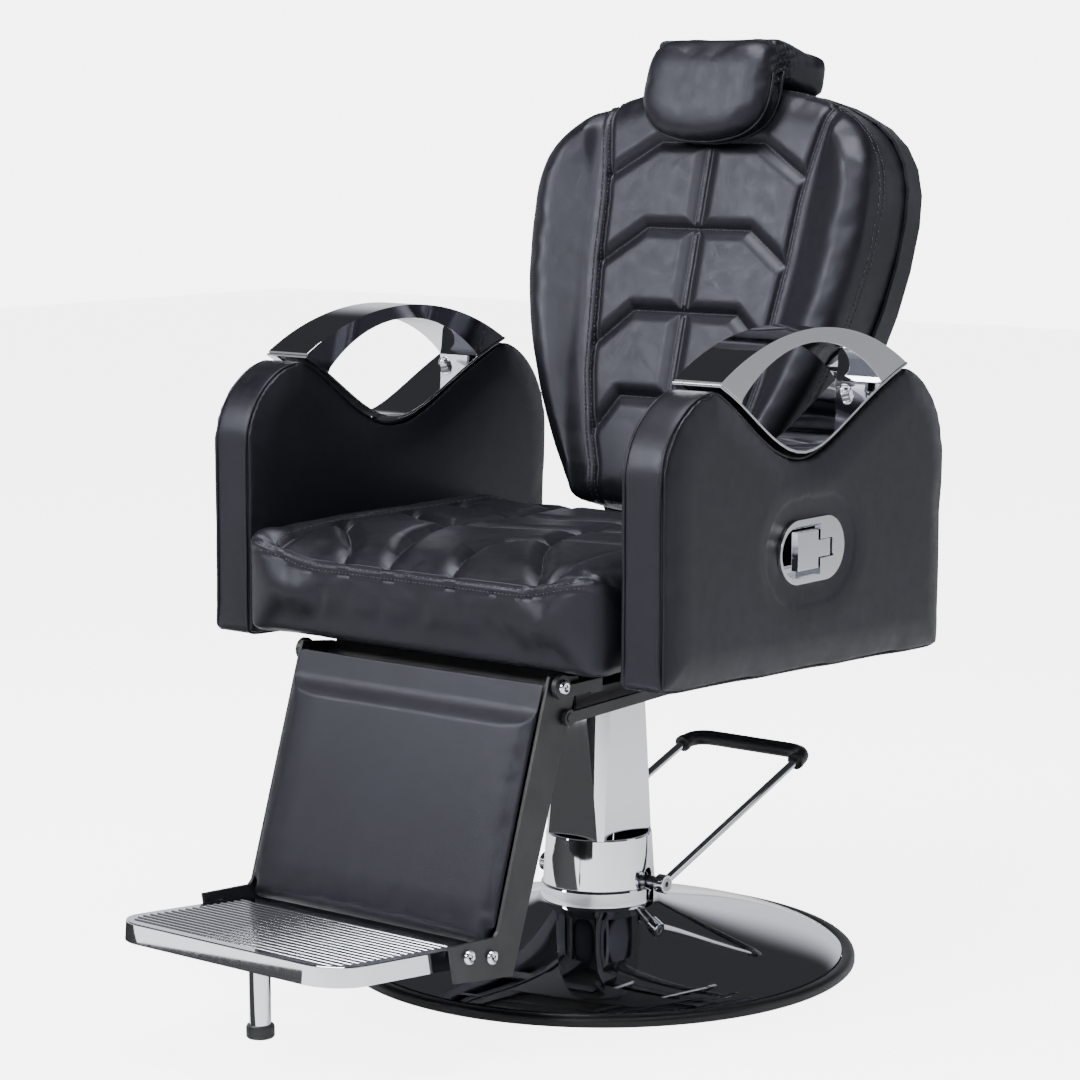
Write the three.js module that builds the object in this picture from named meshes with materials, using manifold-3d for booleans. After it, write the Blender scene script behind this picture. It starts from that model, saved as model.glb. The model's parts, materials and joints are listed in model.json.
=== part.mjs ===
// Reclining hydraulic barber chair, in millimetres, +Z up.
// Origin: the column axis at floor level. The chair faces -Y, and +X is the sitter's left.
import * as THREE from 'three';
import { mergeVertices } from 'three/addons/utils/BufferGeometryUtils.js';
import Module from 'manifold-3d';

const wasm = await Module();
wasm.setup();

// ---------------------------------------------------------------- driving dimensions
const GAP = 0.3;                  // clearance between pieces that touch
const RUN = 0.3;                  // radial clearance of a pin in its bore

// base and column
const BASE_RADIUS = 300;
const BASE_SIDES = 56;            // facets round the base, the same on every piece that nests
const RING_WIDTH = 15.5;
const RING_HEIGHT = 12;
const FLOOR_PLATE = 8;
const DOME_TOP = 71;
const DOME_WALL = 2;
const COVER_FOOT_RADIUS = 68;
const COVER_BAND = 19;            // height of the plain band at the foot of the cover
const COVER_STEP = 2.5;           // how far the taper is set in from the band
const COVER_TOP_RADIUS = 52.5;
const COVER_TOP = 318;
const COVER_WALL = 2.2;
const FLAT_X = 42;                // flats pressed into the cover, from the axis
const FLAT_Y = 50;
const FLAT_START = 150;
const SLOT_HALF = 9;

// hydraulic pump
const PUMP_FLANGE_RADIUS = 56;
const PUMP_FLANGE = 12;
const PUMP_BLOCK_RADIUS = 50;
const PUMP_BLOCK_TOP = 120;
const CYLINDER_RADIUS = 36;
const CYLINDER_TOP = 296;
const GLAND_RADIUS = 34;
const GLAND_HEIGHT = 8;
const RAM_RADIUS = 25;
const RAM_BOTTOM = 127;
const RAM_TOP = 322;

// pedal
const SHAFT_RADIUS = 7;
const SHAFT_Y = 11;
const SHAFT_Z = 96;
const PEDAL_HALF_SPAN = 85;       // arm centre lines
const PEDAL_REACH = 280;          // end of the straight arms
const PEDAL_TIP_Z = 195;
const PEDAL_BAR_Y = 310;          // cross bar centre line
const PEDAL_BAR_Z = 201;
const PEDAL_ROD = 5;
const PEDAL_STEPS = 28;           // facets along the bend and its grip
const GRIP_RADIUS = 9.5;
const EYE_RADIUS = 11;
const EYE_WIDTH = 12;

// swivel hub and seat frame
const HUB_RADIUS = 42;
const HUB_SOCKET = 14;            // how deep the ram sits in the hub
const HUB_HEIGHT = 22;            // ram top to hub plate
const HUB_PLATE = 6;
const HUB_PLATE_HALF_Y = 60;
const RAIL_X = 150;
const RAIL_WIDTH = 30;
const RAIL_HEIGHT = 21.4;
const RAIL_WALL = 2.5;
const RAIL_FRONT = 255;
const RAIL_REAR = 120;
const BAR_HEIGHT = 15;            // cross bars that lie on the rails
const BAR_DEPTH = 20;
const ARM_BAR_DEPTH = 30;
const ARM_BAR_FRONT_Y = -145;
const ARM_BAR_REAR_Y = 55;
const BOARD_THICKNESS = 16.9;
const BOARD_INSET = 3;            // board edge to the pivot ears

// seat
const SEAT_HALF_WIDTH = 250;
const SEAT_FRONT = 333;
const SEAT_REAR = 150;
const SEAT_THICKNESS = 104;
const SEAT_CORNER = 18;
const SEAT_REAR_DROP = 28;        // the top falls away under the back

// arms
const ARM_GAP = 10;               // seat side to arm panel
const ARM_THICKNESS = 62;
const ARM_FRONT = 313;
const ARM_REAR = 236;
const ARM_BOTTOM_FRONT = 388;
const ARM_BOTTOM_REAR = 367;
const ARM_PEAK = 703;             // height of the two shoulders
const ARM_DIP = 620;              // lowest point of the dip between them
const ARM_DIP_Y = -56;
const SHOULDER_FRONT_Y = -216;
const SHOULDER_REAR_Y = 147;
const ARCH_CROWN = 754;           // top of the chrome arch
const ARCH_CROWN_Y = -26;
const ARCH_DEPTH = 16;            // thickness of the arch at its crown
const SADDLE_WALL = 3;
const NUT_Y = 66;
const NUT_RADIUS = 8;

// recline lever in the left arm panel
const BEZEL_Y = -46;
const BEZEL_Z = 515;
const BEZEL_LENGTH = 123;
const BEZEL_HEIGHT = 70;
const BEZEL_FLANGE = 3.5;
const BEZEL_CUP = 18;
const BEZEL_LIP = 2;              // flange overhang around the cup
const RECESS_DEPTH = 16;
const PADDLE_FRONT = -72;
const PADDLE_REAR = -33;
const PADDLE_HEIGHT = 42;
const STEM_HEIGHT = 19;
const LEVER_PIVOT_Y = -12;
const LEVER_THICKNESS = 9;
const LEVER_PIN_RADIUS = 2.5;

// back and its pivot
const PIVOT_Y = 200;
const PIVOT_LIFT = 78;            // ram top to back pivot
const PIVOT_SHAFT_RADIUS = 8;
const PIVOT_TUBE_WALL = 5;
const EAR_THICKNESS = 6;
const LEAN = THREE.MathUtils.degToRad(15.3);
const BACK_FACE_Y = 146;          // a point on the front face of the back
const BACK_FACE_Z = 690;
const BACK_BOTTOM = -182;         // distances along the back from that point
const BACK_WIDEST = 190;
const BACK_TOP = 343;
const BACK_GAP = 11;              // widest part of the back to each arm panel
const BACK_FOOT_HALF = 112;
const BACK_DEPTH = 90;
const BACK_CUSHION = 60;
const BOLSTER_HEIGHT = 22;
const BACK_BOARD = 12;
const SHELL_WALL = 4;
const UPRIGHT_X = 85;
const UPRIGHT_WIDTH = 24;
const UPRIGHT_THICKNESS = 12;
const UPRIGHT_TOP = 150;

// headrest
const HEADREST_HALF = 93;
const HEADREST_BOTTOM = 255;
const HEADREST_TOP = 388;
const HEADREST_FRONT = 36;
const HEADREST_BROW = 14;         // the front pad stops this far below the top
const HEADREST_BAR_X = 40;
const HEADREST_BAR_WIDTH = 20;
const HEADREST_BAR_THICKNESS = 8;
const HEADREST_BAR_BOTTOM = 190;
const SLEEVE_BOTTOM = 235;
const SLEEVE_TOP = 300;

// legrest
const LEG_PIVOT_Y = -303;
const LEG_PIVOT_DROP = 1;         // below the top of the cross bars
const LEG_TILT = THREE.MathUtils.degToRad(18.3);
const LEG_HALF = 178;
const LEG_SIDE = 4;
const LEG_SHEET = 3;
const LEG_PAD_GAP = 2;
const LEG_PAD_FRONT = 15.3;       // pad face in front of the pivot
const LEG_PAD_LENGTH = 262;
const LEG_LENGTH = 305;
const LEG_BACK = 33;              // back sheet behind the pivot
const BOLT_RADIUS = 5;
const BOLT_HEAD_RADIUS = 8;
const BOLT_HEAD = 4;

// linkage that swings the legrest with the back
const LINK_ARM = 38;              // pivot to link pin, the same at both ends
const LINK_START = THREE.MathUtils.degToRad(22);   // pins behind the plumb line, upright
const LINK_THICKNESS = 5;
const LINK_HALF_HEIGHT = 6;

// reclining lock
const STRUT_X = 100;
const STRUT_ARM = 42;
const STRUT_START = THREE.MathUtils.degToRad(25);
const STRUT_RADIUS = 9;
const STRUT_ROD = 5;
const STRUT_FRONT = 120;
const STRUT_REAR = 60;
const STRUT_HEAD = 40;
const CABLE_RADIUS = 2;

// footplate
const FOOT_PIVOT_DOWN = 293.8;    // from the legrest pivot, along the legrest
const FOOT_PIVOT_OUT = 57.5;
const FOOT_TILT = THREE.MathUtils.degToRad(5.2);
const FOOT_HALF = 161.5;
const FOOT_LENGTH = 208;
const FOOT_BEHIND = 25;           // length behind its pivot
const FOOT_ABOVE = 6.8;           // deck above its pivot
const FOOT_HEIGHT = 23;
const FOOT_WALL = 4;
const FOOT_CORNER = 45;
const PROP_RADIUS = 11.3;
const PROP_AHEAD = 122;           // prop leg in front of the footplate pivot
const PROP_TIP_Z = 36;
const PROP_PAD_RADIUS = 15;
const PROP_PAD_HEIGHT = 14;

// ---------------------------------------------------------------- levels worked out from them
const plateTop = RAM_TOP + HUB_HEIGHT + HUB_PLATE;
const railBottom = plateTop + GAP;
const railTop = railBottom + RAIL_HEIGHT;
const barBottom = railTop + GAP;
const barTop = barBottom + BAR_HEIGHT;
const boardBottom = barTop + GAP;
const boardTop = boardBottom + BOARD_THICKNESS;
const seatBottom = boardTop + GAP;
const seatTop = seatBottom + SEAT_THICKNESS;
const armInner = SEAT_HALF_WIDTH + ARM_GAP;
const armOuter = armInner + ARM_THICKNESS;
const backHalf = armInner - BACK_GAP;
const pivotZ = RAM_TOP + PIVOT_LIFT;
const legPivotZ = barTop - LEG_PIVOT_DROP;
const earInner = LEG_HALF + 2;
const linkInner = LEG_HALF + 1.5;
const leverInner = linkInner + LINK_THICKNESS + 1.5;
const linkBack = LINK_ARM * Math.sin(LINK_START);   // link pin behind its pivot
const linkDrop = LINK_ARM * Math.cos(LINK_START);   // link pin below its pivot
const rearEarInner = leverInner + EAR_THICKNESS + 6;
const tubeRadius = PIVOT_SHAFT_RADIUS + RUN + PIVOT_TUBE_WALL;
const strutZ = pivotZ - STRUT_ARM * (1 + Math.cos(STRUT_START)) / 2;
const floorRim = BASE_RADIUS - RING_WIDTH;

// ---------------------------------------------------------------- finishes
const finish = (color, roughness, metalness) =>
  new THREE.MeshStandardMaterial({ color, roughness, metalness });
const leather = finish('#24252a', 0.45, 0);
const chrome = finish('#c9ccd2', 0.08, 1);
const rubber = finish('#151517', 0.75, 0);
const blackSteel = finish('#1b1c1f', 0.5, 0.4);
const bareSteel = finish('#8f9298', 0.35, 0.9);
const plywood = finish('#b58a55', 0.8, 0);
const nylon = finish('#1a1a1c', 0.5, 0);

// ---------------------------------------------------------------- solids
function toSolid(geometry) {
  const bare = geometry.clone();
  bare.deleteAttribute('normal');
  bare.deleteAttribute('uv');
  const merged = mergeVertices(bare, 1e-4);
  const triVerts = new Uint32Array(merged.index.array);
  const vertProperties = new Float32Array(merged.attributes.position.array);
  return new wasm.Manifold(new wasm.Mesh({ numProp: 3, vertProperties, triVerts }));
}

function toGeometry(solid) {
  const { vertProperties, triVerts } = solid.getMesh();
  const indexed = new THREE.BufferGeometry();
  indexed.setAttribute('position', new THREE.BufferAttribute(vertProperties, 3));
  indexed.setIndex(new THREE.BufferAttribute(triVerts, 1));
  const faceted = indexed.toNonIndexed();
  faceted.computeVertexNormals();
  return faceted;
}

const join = (first, ...others) =>
  toGeometry(others.reduce((sum, next) => sum.add(toSolid(next)), toSolid(first)));
const cut = (first, ...others) =>
  toGeometry(others.reduce((rest, next) => rest.subtract(toSolid(next)), toSolid(first)));
const common = (first, second) => toGeometry(toSolid(first).intersect(toSolid(second)));

function block(x0, x1, y0, y1, z0, z1) {
  const box = new THREE.BoxGeometry(x1 - x0, y1 - y0, z1 - z0);
  return box.translate((x0 + x1) / 2, (y0 + y1) / 2, (z0 + z1) / 2);
}

function extrude(shape, depth, curveSegments = 12) {
  return new THREE.ExtrudeGeometry(shape, { depth, bevelEnabled: false, curveSegments });
}

// A profile drawn in (Y, Z), with its thickness along X.
function alongX(shape, x0, x1, curveSegments) {
  const axes = new THREE.Matrix4().makeBasis(
    new THREE.Vector3(0, 1, 0), new THREE.Vector3(0, 0, 1), new THREE.Vector3(1, 0, 0));
  return extrude(shape, x1 - x0, curveSegments).applyMatrix4(axes).translate(x0, 0, 0);
}

// A profile drawn in (X, Z), with its thickness along Y.
function alongY(shape, y0, y1, curveSegments) {
  const axes = new THREE.Matrix4().makeBasis(
    new THREE.Vector3(1, 0, 0), new THREE.Vector3(0, 0, 1), new THREE.Vector3(0, -1, 0));
  return extrude(shape, y1 - y0, curveSegments).applyMatrix4(axes).translate(0, y1, 0);
}

// A profile of (radius, height) points turned round the Z axis.
function turned(points, segments = 48) {
  const outline = points.map(([r, z]) => new THREE.Vector2(r, z));
  return new THREE.LatheGeometry(outline, segments).rotateX(Math.PI / 2);
}

function ring(inner, outer, z0, z1, segments = 48) {
  return turned([[inner, z0], [outer, z0], [outer, z1], [inner, z1], [inner, z0]], segments);
}

function disc(radius, z0, z1, segments = 48) {
  return turned([[0, z0], [radius, z0], [radius, z1], [0, z1]], segments);
}

function polygon(points) {
  return new THREE.Shape(points.map(([a, b]) => new THREE.Vector2(a, b)));
}

function circle(a, b, radius) {
  return new THREE.Shape().absarc(a, b, radius, 0, 2 * Math.PI, false);
}

// A round bar or bore along X, centred on (y, z).
const pinX = (y, z, radius, x0, x1, sides = 20) => alongX(circle(y, z, radius), x0, x1, sides);

// An upright oval with straight sides: half length a (along the first axis), half height b.
function oval(centreA, centreB, a, b) {
  const straight = a - b;
  const shape = new THREE.Shape();
  shape.moveTo(centreA - straight, centreB - b);
  shape.lineTo(centreA + straight, centreB - b);
  shape.absarc(centreA + straight, centreB, b, -Math.PI / 2, Math.PI / 2, false);
  shape.lineTo(centreA - straight, centreB + b);
  shape.absarc(centreA - straight, centreB, b, Math.PI / 2, Math.PI * 1.5, false);
  return shape;
}

// A round section swept along a curve, solid or hollow.
function swept(curve, radius, steps, sides, bore = 0) {
  const section = circle(0, 0, radius);
  if (bore > 0) section.holes.push(circle(0, 0, bore));
  return new THREE.ExtrudeGeometry(section, {
    steps, extrudePath: curve, bevelEnabled: false, curveSegments: sides,
  });
}

// The centre and radius of the circle through three (y, z) points.
function circleThrough([ay, az], [by, bz], [cy, cz]) {
  const d = 2 * (ay * (bz - cz) + by * (cz - az) + cy * (az - bz));
  const a2 = ay * ay + az * az;
  const b2 = by * by + bz * bz;
  const c2 = cy * cy + cz * cz;
  const y = (a2 * (bz - cz) + b2 * (cz - az) + c2 * (az - bz)) / d;
  const z = (a2 * (cy - by) + b2 * (ay - cy) + c2 * (by - ay)) / d;
  return { y, z, radius: Math.hypot(ay - y, az - z) };
}

const chair = new THREE.Group();

function add(name, geometry, material) {
  const mesh = new THREE.Mesh(geometry, material);
  mesh.name = name;
  chair.add(mesh);
  return mesh;
}

// Both copies of a piece made for the +X side: the second is its mirror image.
function addPair(name, geometry, material) {
  add(`${name}_left`, geometry, material);
  const mirror = new THREE.Matrix4().makeScale(-1, 1, 1);
  const { vertProperties, triVerts } = toSolid(geometry).transform(mirror.elements).getMesh();
  const flipped = new THREE.BufferGeometry();
  flipped.setAttribute('position', new THREE.BufferAttribute(vertProperties, 3));
  flipped.setIndex(new THREE.BufferAttribute(triVerts, 1));
  const faceted = flipped.toNonIndexed();
  faceted.computeVertexNormals();
  add(`${name}_right`, faceted, material);
}

// ---------------------------------------------------------------- base, column and pump
function baseFloorPlate() {
  add('base_floor_plate', disc(floorRim - GAP, 0, FLOOR_PLATE, BASE_SIDES), blackSteel);
}

function baseRing() {
  const soft = 3;
  const profile = [
    [floorRim, 0], [BASE_RADIUS - soft, 0], [BASE_RADIUS, soft], [BASE_RADIUS, RING_HEIGHT - soft],
    [BASE_RADIUS - soft, RING_HEIGHT], [floorRim, RING_HEIGHT], [floorRim, 0],
  ];
  add('base_ring', turned(profile, BASE_SIDES), rubber);
}

// The dish rises from the rubber ring in a shallow cone and flares up to the column.
function baseDome() {
  const rim = floorRim - GAP;
  const foot = FLOOR_PLATE + GAP;
  const hole = PUMP_FLANGE_RADIUS + 2;
  const flare = (drop) => new THREE.CubicBezierCurve(
    new THREE.Vector2(rim - drop, RING_HEIGHT - drop),
    new THREE.Vector2(rim * 0.88, RING_HEIGHT + (DOME_TOP - RING_HEIGHT) * 0.38 - drop),
    new THREE.Vector2(rim * 0.46, RING_HEIGHT + (DOME_TOP - RING_HEIGHT) * 0.62 - drop),
    new THREE.Vector2(COVER_FOOT_RADIUS + 2, DOME_TOP - drop)).getPoints(6).map((p) => [p.x, p.y]);
  const outside = [[rim, foot], ...flare(0), [hole, DOME_TOP]];
  const inside = [...flare(DOME_WALL), [hole, DOME_TOP - DOME_WALL]].reverse();
  add('base_dome', turned([...outside, ...inside, [rim - DOME_WALL, foot], [rim, foot]], BASE_SIDES), chrome);
}

function pumpBody() {
  const flangeTop = FLOOR_PLATE + GAP + PUMP_FLANGE;
  const outline = [
    [0, FLOOR_PLATE + GAP], [PUMP_FLANGE_RADIUS, FLOOR_PLATE + GAP], [PUMP_FLANGE_RADIUS, flangeTop],
    [PUMP_BLOCK_RADIUS, flangeTop], [PUMP_BLOCK_RADIUS, PUMP_BLOCK_TOP],
    [CYLINDER_RADIUS, PUMP_BLOCK_TOP], [CYLINDER_RADIUS, CYLINDER_TOP], [0, CYLINDER_TOP],
  ];
  const bore = disc(RAM_RADIUS + RUN, RAM_BOTTOM - 2, CYLINDER_TOP + 10, 32);
  const reach = PUMP_BLOCK_RADIUS + 10;
  const crossBore = pinX(SHAFT_Y, SHAFT_Z, SHAFT_RADIUS + RUN, -reach, reach, 12);
  add('pump_body', cut(turned(outline, 40), bore, crossBore), blackSteel);
  const glandBottom = CYLINDER_TOP + GAP;
  const gland = ring(RAM_RADIUS + RUN, GLAND_RADIUS, glandBottom, glandBottom + GLAND_HEIGHT, 32);
  add('pump_gland', gland, bareSteel);
}

// One skin of the column cover, set in from the outside by wall.
function coverSkin(wall, overrun) {
  const bandTop = DOME_TOP + COVER_BAND;
  const taper = COVER_FOOT_RADIUS - COVER_STEP;
  const shoulder = bandTop - wall;
  const body = turned([
    [0, DOME_TOP + GAP - overrun], [COVER_FOOT_RADIUS - wall, DOME_TOP + GAP - overrun],
    [COVER_FOOT_RADIUS - wall, shoulder], [taper - wall, shoulder + 1],
    [COVER_TOP_RADIUS - wall, COVER_TOP + overrun], [0, COVER_TOP + overrun],
  ], 48);
  const far = COVER_FOOT_RADIUS + 20;
  const start = FLAT_START - wall;
  const top = COVER_TOP + overrun + 1;
  const flats = [-1, 1].flatMap((side) => {
    const x = [side * (FLAT_X - wall), side * far].sort((p, q) => p - q);
    const y = [side * (FLAT_Y - wall), side * far].sort((p, q) => p - q);
    return [block(x[0], x[1], -far, far, start, top), block(-far, far, y[0], y[1], start, top)];
  });
  return cut(body, ...flats);
}

function columnCover() {
  const shell = cut(coverSkin(0, 0), coverSkin(COVER_WALL, 1));
  const far = COVER_FOOT_RADIUS + 20;
  const archZ = SHAFT_Z + SHAFT_RADIUS;
  const slot = block(-far, far, SHAFT_Y - SLOT_HALF, SHAFT_Y + SLOT_HALF, DOME_TOP - 5, archZ);
  const slotEnd = pinX(SHAFT_Y, archZ, SLOT_HALF, -far, far, 12);
  add('column_cover', cut(shell, slot, slotEnd), chrome);
}

function ram() {
  add('ram', disc(RAM_RADIUS, RAM_BOTTOM, RAM_TOP, 32), chrome);
}

// ---------------------------------------------------------------- pedal
function pedalShaft() {
  const end = PEDAL_HALF_SPAN + EYE_WIDTH / 2;
  const shaft = pinX(SHAFT_Y, SHAFT_Z, SHAFT_RADIUS, -end, end, 12);
  const socket = (x0, x1) => pinX(SHAFT_Y, SHAFT_Z, 3.5, x0, x1, 3);
  add('pedal_shaft', cut(shaft, socket(-end - 1, 4 - end), socket(end - 4, end + 1)), bareSteel);
}

// The bend that carries the grip, between the ends of the two straight arms.
function pedalCurve() {
  const side = PEDAL_HALF_SPAN;
  const rise = PEDAL_BAR_Z - PEDAL_TIP_Z;
  const run = PEDAL_BAR_Y - PEDAL_REACH;
  const half = [
    [side, 0, 0], [side, 0.42 * run, 0.55 * rise], [side - 5, 0.74 * run, 0.85 * rise],
    [side - 17, 0.97 * run, rise], [side - 34, run, rise],
  ];
  const at = (sign) => ([x, dy, dz]) =>
    new THREE.Vector3(sign * x, PEDAL_REACH + dy, PEDAL_TIP_Z + dz);
  const points = [...half.map(at(1)), ...half.map(at(-1)).reverse()];
  return new THREE.CatmullRomCurve3(points, false, 'centripetal');
}

function pedalBar() {
  const bend = swept(pedalCurve(), PEDAL_ROD, PEDAL_STEPS, 4);
  const arms = [1, -1].map((side) => {
    const foot = new THREE.Vector3(side * PEDAL_HALF_SPAN, SHAFT_Y, SHAFT_Z);
    const tip = new THREE.Vector3(side * PEDAL_HALF_SPAN, PEDAL_REACH + 1, PEDAL_TIP_Z + 0.4);
    return swept(new THREE.LineCurve3(foot, tip), PEDAL_ROD, 1, 4);
  });
  const half = EYE_WIDTH / 2;
  const bosses = [1, -1].map((side) => {
    const centre = side * PEDAL_HALF_SPAN;
    return pinX(SHAFT_Y, SHAFT_Z, EYE_RADIUS, centre - half, centre + half, 12);
  });
  const far = PEDAL_HALF_SPAN + EYE_WIDTH;
  const bore = pinX(SHAFT_Y, SHAFT_Z, SHAFT_RADIUS + RUN, -far, far, 12);
  add('pedal_bar', cut(join(bend, ...arms, ...bosses), bore), chrome);
}

function pedalGrip() {
  add('pedal_grip', swept(pedalCurve(), GRIP_RADIUS, PEDAL_STEPS, 4, PEDAL_ROD + RUN), rubber);
}

// ---------------------------------------------------------------- seat frame
function swivelHub() {
  const socketBottom = RAM_TOP - HUB_SOCKET;
  const plateBottom = RAM_TOP + HUB_HEIGHT;
  const boss = turned([
    [0, socketBottom], [GLAND_RADIUS, socketBottom], [GLAND_RADIUS, RAM_TOP], [HUB_RADIUS, plateBottom + 1],
    [0, plateBottom + 1],
  ], 32);
  const half = RAIL_X + RAIL_WIDTH / 2;
  const plate = block(-half, half, -HUB_PLATE_HALF_Y, HUB_PLATE_HALF_Y, plateBottom, plateTop);
  const socket = disc(RAM_RADIUS + RUN, socketBottom - 1, RAM_TOP + GAP, 32);
  add('swivel_hub', cut(join(boss, plate), socket), blackSteel);
}

function frameRails() {
  const inner = RAIL_X - RAIL_WIDTH / 2;
  const outer = RAIL_X + RAIL_WIDTH / 2;
  const tube = cut(
    block(inner, outer, -RAIL_FRONT, RAIL_REAR, railBottom, railTop),
    block(inner + RAIL_WALL, outer - RAIL_WALL, -RAIL_FRONT - 1, RAIL_REAR + 1,
      railBottom + RAIL_WALL, railTop - RAIL_WALL));
  addPair('frame_rail', tube, blackSteel);
}

// Front cross bar with two ears that carry the legrest pivot bolts.
function frameCrossFront() {
  const reach = earInner + EAR_THICKNESS;
  const bar = block(-reach, reach, -RAIL_FRONT, BAR_DEPTH - RAIL_FRONT, barBottom, barTop);
  const ears = [earInner, -reach].flatMap((x) => [
    block(x, x + EAR_THICKNESS, LEG_PIVOT_Y, 1 - RAIL_FRONT, barBottom + 2, barTop),
    pinX(LEG_PIVOT_Y, legPivotZ, 13, x, x + EAR_THICKNESS, 10),
  ]);
  const bore = pinX(LEG_PIVOT_Y, legPivotZ, BOLT_RADIUS + RUN, -reach - 1, reach + 1, 10);
  add('frame_cross_front', cut(join(bar, ...ears), bore), blackSteel);
}

// Rear cross bar with two ears that carry the shaft of the back.
function frameCrossRear() {
  const reach = rearEarInner + EAR_THICKNESS;
  const bar = block(-reach, reach, RAIL_REAR - BAR_DEPTH, RAIL_REAR, barBottom, barTop);
  const earRadius = PIVOT_SHAFT_RADIUS + 6;
  const arm = polygon([
    [RAIL_REAR - BAR_DEPTH + 1, barBottom], [RAIL_REAR, barBottom],
    [PIVOT_Y, pivotZ - earRadius + 0.5], [PIVOT_Y, pivotZ + earRadius - 0.5],
    [RAIL_REAR - BAR_DEPTH + 1, barTop],
  ]);
  const ears = [rearEarInner, -reach].flatMap((x) => [
    alongX(arm, x, x + EAR_THICKNESS),
    pinX(PIVOT_Y, pivotZ, earRadius, x, x + EAR_THICKNESS, 10),
  ]);
  const bore = pinX(PIVOT_Y, pivotZ, PIVOT_SHAFT_RADIUS + RUN, -reach - 1, reach + 1, 12);
  add('frame_cross_rear', cut(join(bar, ...ears), bore), blackSteel);
}

function armBars() {
  const reach = armInner - GAP;
  const half = ARM_BAR_DEPTH / 2;
  for (const [name, y] of [['arm_bar_front', ARM_BAR_FRONT_Y], ['arm_bar_rear', ARM_BAR_REAR_Y]]) {
    add(name, block(-reach, reach, y - half, y + half, barBottom, barTop), blackSteel);
  }
}

function seatBoard() {
  const half = earInner - BOARD_INSET;
  add('seat_board', block(-half, half, -RAIL_FRONT - 3, SEAT_REAR - 10, boardBottom, boardTop), plywood);
}

// A deep box cushion: upright front with a soft top edge, falling away at the rear under the back.
function seatCushion() {
  const front = -SEAT_FRONT;
  const shape = new THREE.Shape();
  shape.moveTo(front, seatBottom);
  shape.lineTo(SEAT_REAR, seatBottom);
  shape.lineTo(SEAT_REAR, seatTop - SEAT_REAR_DROP);
  shape.quadraticCurveTo(SEAT_REAR - 30, seatTop, SEAT_REAR - 85, seatTop);
  shape.lineTo(front + SEAT_CORNER, seatTop);
  shape.quadraticCurveTo(front, seatTop, front, seatTop - SEAT_CORNER);
  add('seat_cushion', alongX(shape, -SEAT_HALF_WIDTH, SEAT_HALF_WIDTH, 5), leather);
}

// ---------------------------------------------------------------- arms
// The side of an arm panel in (Y, Z), lifted by rise: two shoulders with a dip between them.
function armOutline(rise) {
  const bulge = 94;
  const shape = new THREE.Shape();
  shape.moveTo(-ARM_FRONT, ARM_BOTTOM_FRONT + rise);
  shape.lineTo(ARM_REAR - 7, ARM_BOTTOM_REAR + rise);
  shape.lineTo(ARM_REAR, ARM_PEAK - 111 + rise);
  shape.bezierCurveTo(ARM_REAR, ARM_PEAK - 48 + rise, SHOULDER_REAR_Y + 43, ARM_PEAK - 5 + rise,
    SHOULDER_REAR_Y, ARM_PEAK + rise);
  shape.bezierCurveTo(SHOULDER_REAR_Y - 102, ARM_PEAK - 34 + rise, ARM_DIP_Y + 51, ARM_DIP + rise,
    ARM_DIP_Y, ARM_DIP + rise);
  shape.bezierCurveTo(ARM_DIP_Y - 56, ARM_DIP + 1 + rise, SHOULDER_FRONT_Y + 64, ARM_PEAK - 31 + rise,
    SHOULDER_FRONT_Y, ARM_PEAK + rise);
  shape.bezierCurveTo(SHOULDER_FRONT_Y - 52, ARM_PEAK + rise, -ARM_FRONT, ARM_PEAK - bulge / 2 + rise,
    -ARM_FRONT, ARM_PEAK - bulge + rise);
  return shape;
}

const armSolid = (rise, spare) => alongX(armOutline(rise), armInner - spare, armOuter + spare, 10);

function cablePath() {
  const x0 = armOuter + GAP - BEZEL_CUP;
  const headSide = STRUT_X + 12 + GAP;
  const headY = 16 - STRUT_FRONT - STRUT_HEAD + 4;
  const overRail = railTop + 2 + CABLE_RADIUS + 3;
  const bore = (armInner + armOuter) / 2 - 10;
  const points = [
    [x0 - GAP, BEZEL_Y + 26, BEZEL_Z], [bore + 12, BEZEL_Y + 26, BEZEL_Z],
    [bore + 3, BEZEL_Y + 26, BEZEL_Z - 10], [bore, BEZEL_Y + 26, BEZEL_Z - 28],
    [bore, BEZEL_Y + 26, overRail + 50], [bore - 4, BEZEL_Y + 26, overRail + 20],
    [armInner + 2, BEZEL_Y + 26, overRail + 5], [armInner - 18, BEZEL_Y + 26, overRail],
    [earInner, BEZEL_Y + 26, overRail], [RAIL_X, BEZEL_Y + 20, overRail],
    [headSide + 22, BEZEL_Y - 4, overRail - 2], [headSide + 13, BEZEL_Y - 34, overRail - 8],
    [headSide + 12, BEZEL_Y - 64, strutZ + 3], [headSide + 11, headY + 14, strutZ],
    [headSide + 6.5, headY + 2.5, strutZ], [headSide + 1, headY + 1, strutZ],
  ];
  return points.map(([x, y, z]) => new THREE.Vector3(x, y, z));
}

const cableCurve = () => new THREE.CatmullRomCurve3(cablePath(), false, 'centripetal');

// The left panel also has the pocket for the lever housing and a channel for the cable.
function armPanels() {
  const plain = armSolid(0, 0);
  const inPocket = GAP;
  const cup = oval(BEZEL_Y, BEZEL_Z, BEZEL_LENGTH / 2 - BEZEL_LIP + inPocket,
    BEZEL_HEIGHT / 2 - BEZEL_LIP + inPocket);
  const pocket = alongX(cup, armOuter - BEZEL_CUP, armOuter + 1, 12);
  const channel = swept(cableCurve(), CABLE_RADIUS + 1.4, 50, 3);
  const left = cut(plain, pocket, channel);
  add('arm_panel_left', left, leather);
  const mirrored = plain.clone().translate(-armInner - armOuter, 0, 0);
  add('arm_panel_right', mirrored, leather);
}

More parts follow.
